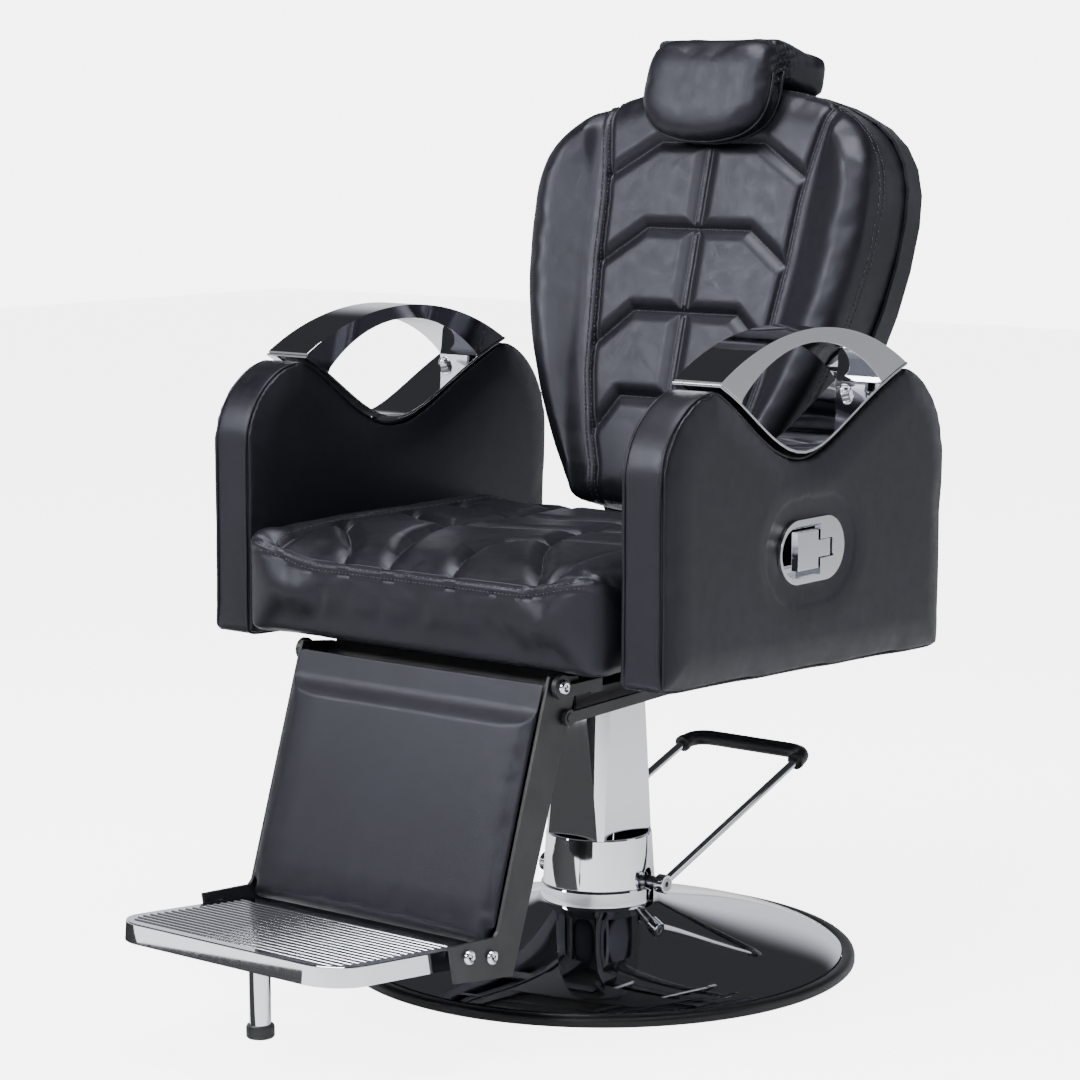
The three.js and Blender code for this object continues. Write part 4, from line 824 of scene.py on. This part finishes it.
def seat_shape(points):
    x, y, z = points.T.copy()
    flat = np.stack([x, y], 1)
    up = eased((z - SEAT_BOTTOM - 20) / (SEAT_TOP - SEAT_BOTTOM - 34))
    rear = eased((y - 40) / 110)
    channel = to_lines(flat, SEAT_CHANNELS)
    roll = np.where(x < 0, SEAT_SEAMS[0] - x, x - SEAT_SEAMS[1])
    front = eased((y - SEAT_FRONT - 4) / 60)
    stuffing = 10 * np.sin(np.clip((y - SEAT_FRONT) / 120, 0, 1) * pi / 2) - 8
    stuffing += valley(channel, CHANNEL_WIDTH, CHANNEL_DEPTH * (0.5 + 0.5 * front)) * (roll < 6)
    stuffing += valley(np.abs(roll), 14, 7)
    stuffing += 5 * np.sin(np.clip(roll / 46, 0, 1) * pi)
    edge = (1 - eased((y - SEAT_FRONT) / 42)) * (seat_rim(x) - 493)
    z += stuffing * eased((z - SEAT_TOP + 18) / 12) * eased((y - SEAT_FRONT - 1) / 10) + \
        (edge + 12 - SEAT_REAR_DROP * rear) * up
    return np.stack([x, y, z], 1)


def seat_front_band(points):
    """Pulls the front strip out a little and sinks its two seams."""
    x, y, z = points.T.copy()
    seam = seat_rim(x)
    face = 1 - eased((y - SEAT_FRONT - 4) / 14)
    strip = np.abs(z - (seam - 4.5))
    y -= face * (1.1 * (strip < 4.2) + valley(np.abs(strip - 4.8), 2.2, 1.4))
    return np.stack([x, y, z], 1)


def seat():
    bm = box((-SEAT_X, SEAT_FRONT, SEAT_BOTTOM), (SEAT_X, SEAT_REAR, SEAT_TOP))
    upright = [e for e in bm.edges if abs(e.verts[0].co.z - e.verts[1].co.z) > 1]
    bevelled(bm, upright, 17, 6)
    top = [e for e in bm.edges if min(v.co.z for v in e.verts) > SEAT_TOP - 1]
    bevelled(bm, top, 11, 4)
    pad = stuffed(bm, 5.5, 7, calm=7)
    split_near(pad, lambda p: (p[:, 2] > 470) & (
        (to_lines(p[:, :2], SEAT_CHANNELS) < 9) | (np.abs(p[:, 0] - SEAT_SEAMS[0]) < 8)
        | (np.abs(p[:, 0] - SEAT_SEAMS[1]) < 8)) | (p[:, 1] < SEAT_FRONT + 6)
        & (np.abs(p[:, 2] - seat_rim(p[:, 0]) + 5) < 14))

    def shape(points):
        points = seat_front_band(seat_shape(points))
        points[:, 2] = np.maximum(points[:, 2], SEAT_BOTTOM - 0.2)
        return points

    cushion = upholstered(pad, "seat_cushion_upholstery", "seat", ["seat_cushion"], None, shape)
    tree = surface_of(cushion)
    rows = []
    xs = np.linspace(-238, 238, 60)
    for drop in (1.6, 7.6):
        rows.append(([(x, SEAT_FRONT - 9, seat_rim(x) - drop) for x in xs], tree, (0, 1, 0)))
    for line in SEAT_CHANNELS:
        rows.append(([(x, max(y, SEAT_FRONT + 16), FROM_ABOVE) for x, y in line], tree, (0, 0, -1)))
    for x in SEAT_SEAMS:
        side = 1 if x > 0 else -1
        for step in (0, 7):
            seam = [(x + side * step, y, FROM_ABOVE) for y in (SEAT_FRONT + 6, SEAT_REAR - 6)]
            rows.append((seam, tree, (0, 0, -1)))
    stitching("seat_stitching", rows, "seat")


# ------------------------------------------------------------ back


def back_outline(amount=0, count=24):
    foot, half = 112 - amount, BACK_HALF - amount
    bottom, top = BACK_BOTTOM + amount, BACK_TOP - amount
    right = bezier((foot, bottom), (foot + 78, bottom + 104), (half, 40), (half, 190), count)
    right += bezier((half, 190), (half, 293), (0.7 * half, top), (0, top), count)[1:]
    left = [(-x, s) for x, s in reversed(right[:-1])]
    return evened(right + left, 7, looped=True)


SEAM_AT = ([-200, -134, -97, -20, 58, 122, 193, 225, 310, 360],
           [84, 89, 102, 120, 128, 135, 139, 143, 160, 176])
ROW_HEIGHTS = (222, 117, 16, -88)
ROW_PEAK = (75, 42)                         # half width and height of each row's flat top
ROW_GROOVE, CENTRE_GROOVE = (17, 9), (19, 9)         # width to each side, and depth
BOLSTER_RISE, BOLSTER_CREST = 25, 26        # height, and distance of its crest from the rim
BACK_REAR, BACK_FACE = -84, -3              # the pad before it is stuffed


def back_seam(s):
    return np.interp(s, *SEAM_AT)


def back_rows():
    rows = []
    half, rise = ROW_PEAK
    for s in ROW_HEIGHTS:
        edge = float(back_seam(s))
        rows.append([(-edge, s), (-half, s + rise), (0, s + rise), (half, s + rise), (edge, s)])
    return rows


def back_shape(points):
    x, s, o = points.T.copy()
    flat = np.stack([x, s], 1)
    front = eased((o + 46) / 34)
    rim = to_lines(flat, [ringed(back_outline(0))])
    past = np.abs(x) - back_seam(s)
    crest = np.clip(past / (np.maximum(past, 0.1) + np.maximum(rim - BOLSTER_CREST, 0)), 0, 1)
    rise = np.where(past > 7, BOLSTER_RISE * eased((crest - 0.04) / 0.96), 0) * eased((past - 7) / 22)
    rise *= 1 - 0.7 * eased((s - 235) / 85)
    inner = eased(-past / 12)
    rows = valley(to_lines(flat, back_rows()), *ROW_GROOVE)
    centre = valley(np.abs(x), *CENTRE_GROOVE, 1.6) + 5.5 * (1 - eased((np.abs(x) - 1.2) / 3.6))
    middle = np.minimum(rows, centre) * np.clip(inner + 0.35, 0, 1) * (past < 2)
    gutter = valley(np.abs(past + 1.5), 9, 6)
    strip = 1.6 * (1 - eased((np.abs(past - 4) - 2.6) / 1.4))
    o += (rise + middle + gutter + strip) * front
    side = (rim < 14) & (o < 10)
    tuck = valley(np.abs(o + 9), 3.2, 1.4) * side
    shrink = 1 + tuck / np.maximum(np.hypot(x, s), 60)
    return np.stack([x * shrink, s * shrink, o], 1)


def back():
    bm = prism([(x, s, BACK_REAR) for x, s in back_outline(-2)], (0, 0, BACK_FACE - BACK_REAR))
    face = [e for e in bm.edges if min(v.co.z for v in e.verts) > BACK_FACE - 1]
    bevelled(bm, face, 17, 5)
    pad = stuffed(bm, 5.5, 8, calm=7)
    lines = back_rows() + [[(0, -190), (0, 350)]]

    def near(p):
        past = np.abs(np.abs(p[:, 0]) - back_seam(p[:, 1]) - 2)
        return (p[:, 2] > -18) & ((to_lines(p[:, :2], lines) < 10) | (past < 11))

    split_near(pad, near)

    def shape(points):
        points = back_shape(points)
        points[:, 2] = np.maximum(points[:, 2], BACK_REAR - 3)
        return points

    cushion = upholstered(pad, "back_cushion_upholstery", "back", ["back_cushion", "back_board"], BACK,
                          shape)
    tree = surface_of(cushion, BACK)
    inward = (0, 0, -1)
    rows = [([(x, s, FROM_AHEAD) for x, s in line], tree, inward) for line in back_rows()]
    rows.append(([(0, -176, FROM_AHEAD), (0, 330, FROM_AHEAD)], tree, inward))
    for side in (1, -1):
        for step in (1.2, 6.8):
            rows.append(([(side * (float(back_seam(s)) + step), s, FROM_AHEAD)
                          for s in range(-178, 336, 8)], tree, inward))
    for level in (-5, -13):
        rows.append(([(x, s, level) for x, s in back_outline(-8)], tree, None))
    stitching("back_stitching", rows, "back", BACK)


# ------------------------------------------------------------ headrest


HEAD_BOTTOM, HEAD_TOP, HEAD_HALF = 255, 386, 96
HEAD_BAND = (4, 25)                         # the two pipings either side of the dark band
HEAD_CROWN, HEAD_SHOULDER = 17, 44          # how far the front pad domes, and over what width


def headrest_outline(amount):
    half, bottom, top = HEAD_HALF - amount, HEAD_BOTTOM + amount, HEAD_TOP - amount
    right = bezier((0, bottom), (half * 0.62, bottom), (half, bottom + 20), (half, bottom + 68), 20)
    right += bezier((half, bottom + 68), (half, top - 20), (half - 16, top), (half - 48, top), 12)[1:]
    return right + [(-x, s) for x, s in reversed(right[1:])]


def headrest_shape(points):
    """Domes the front pad and draws the gathers where its cover turns onto the rear slab."""
    x, s, o = points.T.copy()
    rim = to_lines(np.stack([x, s], 1), [ringed(headrest_outline(0))])
    dome = np.sqrt(1 - (1 - np.clip(rim / HEAD_SHOULDER, 0, 1)) ** 2)
    o += HEAD_CROWN * dome * eased((o - 8) / 14)
    side = eased((np.abs(x) - 76) / 12)
    turn = np.exp(-(((s - 350) / 26) ** 2)) * np.exp(-(((o - 6) / 17) ** 2))
    folds = np.sin((s * 0.9 + o * 0.45) * 0.62) + 0.7 * np.sin((s * 0.45 - o * 1.1) * 0.7 + 1)
    x += np.sign(x) * side * turn * (folds * 1.7 - 3.5)
    band = np.exp(-(((o - sum(HEAD_BAND) / 2) / 6.5) ** 2)) * eased((350 - s) / 30)
    x -= np.sign(x) * 4.5 * band * side
    s += 5.0 * band * eased((HEAD_BOTTOM + 44 - s) / 40)
    return np.stack([x, s, o], 1)


def headrest():
    front = rounded(prism([(x, s, HEAD_BAND[0] - 3) for x, s in headrest_outline(2)],
                          (0, 0, HEAD_BAND[1] - HEAD_BAND[0] + 4)), 6, 3)
    slab = rounded(box((-92, 339, -85), (92, 386, 20)), 9, 3)
    pad = stuffed(joined(front, slab), 4, 3, calm=5)
    split_near(pad, lambda p: (np.abs(p[:, 0]) > 62) & (p[:, 1] > 315) & (p[:, 2] > -20))
    cushion = upholstered(pad, "headrest_upholstery", "headrest", ["headrest_pad"], BACK,
                          headrest_shape)
    tree = surface_of(cushion, BACK)
    edges = bmesh.new()
    for level in HEAD_BAND:
        line = [(x, s, level) for x, s in headrest_outline(-4) if s < 348]
        middle = max(range(len(line)), key=lambda i: hypot(line[i][0] - line[i - 1][0],
                                                           line[i][1] - line[i - 1][1]))
        spots = laid(evened(line[middle:] + line[:middle], 3), tree)
        joined(edges, piped(spots, 0.9, 1.7))
    piece("headrest_piping", edges, "headrest", "black_leather", place=BACK, finish=PIPING, crease=60)


# ------------------------------------------------------------ arms


def arm_outline():
    """The panel's side view as (along, up), anticlockwise from the lower front corner."""
    line = [(-313, 388), (229, 367), (236, 592)]
    line += bezier((236, 592), (236, 655), (190, 698), SHOULDER_REAR, 16)[1:]
    line += bezier(SHOULDER_REAR, (45, 669), (-5, 620), DIP, 24)[1:]
    line += bezier(DIP, (-112, 621), (-152, 672), SHOULDER_FRONT, 20)[1:]
    line += bezier(SHOULDER_FRONT, (-268, 703), (-313, 656), (-313, 609), 16)[1:]
    return evened(line, 6, looped=True)


def from_bezel(points):
    """Distance outside the bezel's oval, negative within it."""
    y, z = points[:, 1] - BEZEL[0], points[:, 2] - BEZEL[1]
    return np.hypot(np.maximum(np.abs(y) - 26.5, 0), z) - 33


def arm_shape(side):
    line = arm_outline()

    def shape(points):
        x, y, z = points.T.copy()
        across = x * side
        flat = np.stack([y, z], 1)
        rim = to_lines(flat, [ringed(line)])
        outer = eased((across - 300) / 14)
        inner = eased((282 - across) / 14)
        crown = 4.2 * eased((rim - 3) / 42)
        away = from_bezel(points)
        if side > 0:
            crown *= eased((away - 3) / 46)
        across = across + outer * crown
        if side > 0:
            # level round the bezel, and sunk within it
            across = np.minimum(across, np.where(away < 26, ARM_OUTER - 0.2 + np.maximum(crown, 0), 400))
            across = np.where((away < -0.5) & (across > 305), 303.5, across)
        across = across - inner * 0.5 * crown
        for seam in (ARM_INNER + ARM_SEAM, ARM_OUTER - ARM_SEAM):
            pull = valley(np.abs(across - seam), 3.4, 1.6) * (rim < 9)
            out_y, out_z = y - ARM_MIDDLE[0], z - ARM_MIDDLE[1]
            length = np.maximum(np.hypot(out_y, out_z), 1)
            y = y + out_y / length * pull
            z = z + out_z / length * pull
        return np.stack([across * side, y, z], 1)

    return shape


def arm(name, side):
    x0, x1 = ARM_INNER + 2.5, ARM_OUTER - 2.5
    outline = inset(arm_outline(), 3)
    bm = prism([(side * x0, y, z) for y, z in outline], (side * (x1 - x0), 0, 0))
    rounded(bm, 5, 3, 60)
    pad = stuffed(bm, 5.5, 3.2)
    split_near(pad, lambda p: (np.abs(np.abs(p[:, 0]) - ARM_INNER - ARM_SEAM) < 4)
               | (np.abs(np.abs(p[:, 0]) - ARM_OUTER + ARM_SEAM) < 4)
               | ((np.abs(from_bezel(p)) < 6) & (p[:, 0] > 312)))
    panel = upholstered(pad, f"arm_upholstery_{name}", "seat", [f"arm_panel_{name}"], None,
                        arm_shape(side))
    tree = surface_of(panel)
    edges = bmesh.new()
    for x in (ARM_INNER + 4, ARM_OUTER - 4):
        spots = laid([(side * x, y, z) for y, z in evened(inset(arm_outline(), -4), 6, looped=True)], tree)
        joined(edges, piped(spots, 0.6, 1.7, looped=True))
    piece(f"arm_piping_{name}", edges, "seat", "black_leather", finish=PIPING, crease=60)


def arch_line(points, y0, y1, count):
    """Points on the circle through three (along, up) points, between two places along it."""
    (ay, az), (by, bz), (cy, cz) = points
    d = 2 * (ay * (bz - cz) + by * (cz - az) + cy * (az - bz))
    a2, b2, c2 = ay * ay + az * az, by * by + bz * bz, cy * cy + cz * cz
    y = (a2 * (bz - cz) + b2 * (cz - az) + c2 * (az - bz)) / d
    z = (a2 * (cy - by) + b2 * (ay - cy) + c2 * (by - ay)) / d
    radius = hypot(ay - y, az - z)
    return [(p, z + sqrt(radius ** 2 - (p - y) ** 2)) for p in np.linspace(y0, y1, count)]


def arch(name, side):
    """The chrome arm rest: a crescent of polished plate standing on the saddle."""
    top_line = bezier(SHOULDER_REAR, (45, 669), (-5, 620), DIP, 80) \
        + bezier(DIP, (-112, 621), (-152, 672), SHOULDER_FRONT, 80)[1:]
    along = np.array([p[0] for p in reversed(top_line)])
    height = np.array([p[1] for p in reversed(top_line)]) + 3.9
    outer = arch_line([(-212, 707), (-26, 754), (145, 704)], -211, 142, 120)
    inner = arch_line([(-176, 685), (-26, 738), (96, 683)], -181, 101, 100)

    def ground(y):
        return float(np.interp(y, along, height))

    inner = [(y, z) for y, z in inner if z > ground(y) + 0.3]
    front = [(y, ground(y)) for y in np.linspace(-211, inner[0][0], 10)]
    rear = [(y, ground(y)) for y in np.linspace(inner[-1][0], 142, 12)]
    outline = front + inner[1:-1] + rear + list(reversed(outer))
    bm = prism([(side * (ARM_INNER + 0.4), y, z) for y, z in outline],
               (side * (ARM_OUTER - ARM_INNER - 0.8), 0, 0))
    bmesh.ops.dissolve_degenerate(bm, dist=0.4, edges=bm.edges)
    rim = [e for e in bm.edges if abs(e.verts[0].co.x - e.verts[1].co.x) < 0.1]
    bevelled(bm, rim, 0.9, 3, clamp=True)
    outward(bm)
    bmesh.ops.holes_fill(bm, edges=bm.edges, sides=0)
    piece(f"arm_arch_plated_{name}", bm, "seat", "chrome", [f"arm_arch_{name}"], crease=28)


NUT_LEAN = radians(25.3514)                 # from the slope of the arch under the nut


def cap_nut(name):
    low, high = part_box(f"arch_nut_{name}")
    hexagon = bmesh.new()
    bmesh.ops.create_cone(hexagon, cap_ends=True, segments=6, radius1=8.4, radius2=8.4, depth=6)
    rounded(hexagon, 0.8, 2)
    bmesh.ops.translate(hexagon, verts=hexagon.verts, vec=(0, 0, -3))
    dome = turned([(0.0, -1)] + [(6.6 * cos(a * pi / 20), 6.6 * sin(a * pi / 20)) for a in range(10)]
                  + [(0.0, 6.6)], 36, shut=False)
    place = Matrix.Translation((low + high) / 2 / MM) @ Matrix.Rotation(NUT_LEAN, 4, "X")
    piece(f"cap_nut_plated_{name}", joined(hexagon, dome), "seat", "chrome", [f"arch_nut_{name}"],
          place=place)


# ------------------------------------------------------------ legrest and footplate


PAD_HALF, PAD_LENGTH, PAD_FACE = 170, 283, 20.5      # the legrest's pad before it is stuffed


def legrest():
    """A pad between the side plates, with a cover that laps over the plates' edges."""
    cover = rounded(box((-LEG_HALF + 1, -4, 15.8), (LEG_HALF - 1, 262, PAD_FACE)), 2.2, 3)
    core = rounded(box((-PAD_HALF, 0, 4), (PAD_HALF, PAD_LENGTH, PAD_FACE)), 3, 3)
    pad = stuffed(joined(cover, core), 4.5, 3.5)

    def shape(points):
        x, d, o = points.T.copy()
        crown = 2.0 * eased((176 - np.abs(x)) / 50) * eased((282 - d) / 50) * eased((d + 5) / 50)
        o += crown * eased((o - 17) / 6)
        # thin where it turns under the seat
        return np.stack([x, d, np.minimum(o, 18 + 9 * eased((d - 27) / 32))], 1)

    upholstered(pad, "legrest_upholstery", "legrest", ["legrest_pad"], LEG, shape)


def bolt_head(y, z, x, body, node):
    """A button-head screw with a hexagon socket, seen from its side of the chair."""
    side = 1 if x > 0 else -1
    head = turned([(0.0, 1.6), (3.0, 1.6), (3.2, 4.2), (5.0, 4.6), (6.8, 3.9), (7.8, 2.4), (8, 0.6),
                   (8, 0), (5, 0), (5, -7), (0.0, -7)], 40, shut=False)
    turn = Matrix.Rotation(side * pi / 2, 4, "Y")
    piece(node + "_screw", head, body, "chrome", [node], place=Matrix.Translation((x, y, z)) @ turn)


def screws():
    for side, name in ((1, "left"), (-1, "right")):
        plate, ear = side * (LEG_HALF + 0.4), side * (LEG_HALF + 8.4)
        boot = LEG @ Vector((0, 289.8, 19.9))
        bolt_head(boot.y, boot.z, plate, "legrest", f"boot_bolt_{name}")
        bolt_head(FOOT_PIVOT[1], FOOT_PIVOT[2], plate, "footplate", f"footplate_bolt_{name}")
        bolt_head(LEG[1][3], LEG[2][3], ear, "seat", f"legrest_pivot_bolt_{name}")


FOOT_HALF, FOOT_BEHIND, FOOT_AHEAD, FOOT_DECK = 161.5, -25, 183, 6.8
FOOT_CORNER, RIBS = 45, 17
PROP = Matrix.Translation((0, -571.84, 0))           # the prop leg stands here


def footplate():
    corner = [(FOOT_HALF + FOOT_CORNER * (cos(a) - 1), FOOT_AHEAD + FOOT_CORNER * (sin(a) - 1))
              for a in np.linspace(0, pi / 2, 16)]
    outline = [(FOOT_HALF, FOOT_BEHIND)] + corner + [(-x, y) for x, y in reversed(corner)] \
        + [(-FOOT_HALF, FOOT_BEHIND)]
    bm = prism([(x, y, FOOT_DECK - 23) for x, y in outline], (0, 0, 22.4))
    under = min(bm.faces, key=lambda f: f.calc_center_median().z)
    bmesh.ops.inset_region(bm, faces=[under], thickness=4, use_even_offset=True)
    bmesh.ops.translate(bm, verts=under.verts, vec=(0, 0, 19))
    rounded(bm, 1.6, 3, 50)
    for y in np.linspace(FOOT_BEHIND + 22, FOOT_AHEAD - 18, RIBS):
        over = max(0, y - (FOOT_AHEAD - FOOT_CORNER))
        half = FOOT_HALF - 13 - FOOT_CORNER + sqrt(FOOT_CORNER ** 2 - over ** 2)
        rib = box((-half, y - 1.7, FOOT_DECK - 1.5), (half, y + 1.7, FOOT_DECK + 0.5))
        joined(bm, rounded(rib, 0.9, 3))
    piece("footplate_plated", bm, "footplate", "chrome", ["footplate_plate"], place=FOOT, crease=20)
    piece("prop_leg_tube", turned([(0.0, 50.3), (11.3, 50.3), (11.3, 112), (0.0, 112)], 64, shut=False),
          "footplate", "chrome", ["footplate_leg"], place=PROP)
    foot = turned([(0.0, 36), (13.6, 36), (15, 37.4), (15, 47.5), (14.2, 49.4), (12.5, 50), (0.0, 50)],
                  64, shut=False)
    piece("prop_foot_rubber", foot, "footplate", "black_rubber", ["footplate_foot"], place=PROP)


# ------------------------------------------------------------ the whole chair

camera()
floor()
flag()
studio()
base()
column_cover()
pedal()
seat()
back()
headrest()
for hand, way in (("left", 1), ("right", -1)):
    arm(hand, way)
    arch(hand, way)
    cap_nut(hand)
    dressed(f"arm_saddle_{hand}", "chrome", 0.5, 2)
legrest()
screws()
footplate()
for node_name, node in frame["nodes"].items():
    if node.hide_render:
        continue
    dressed(node_name, SLOT_OF[node_name], 0.8)
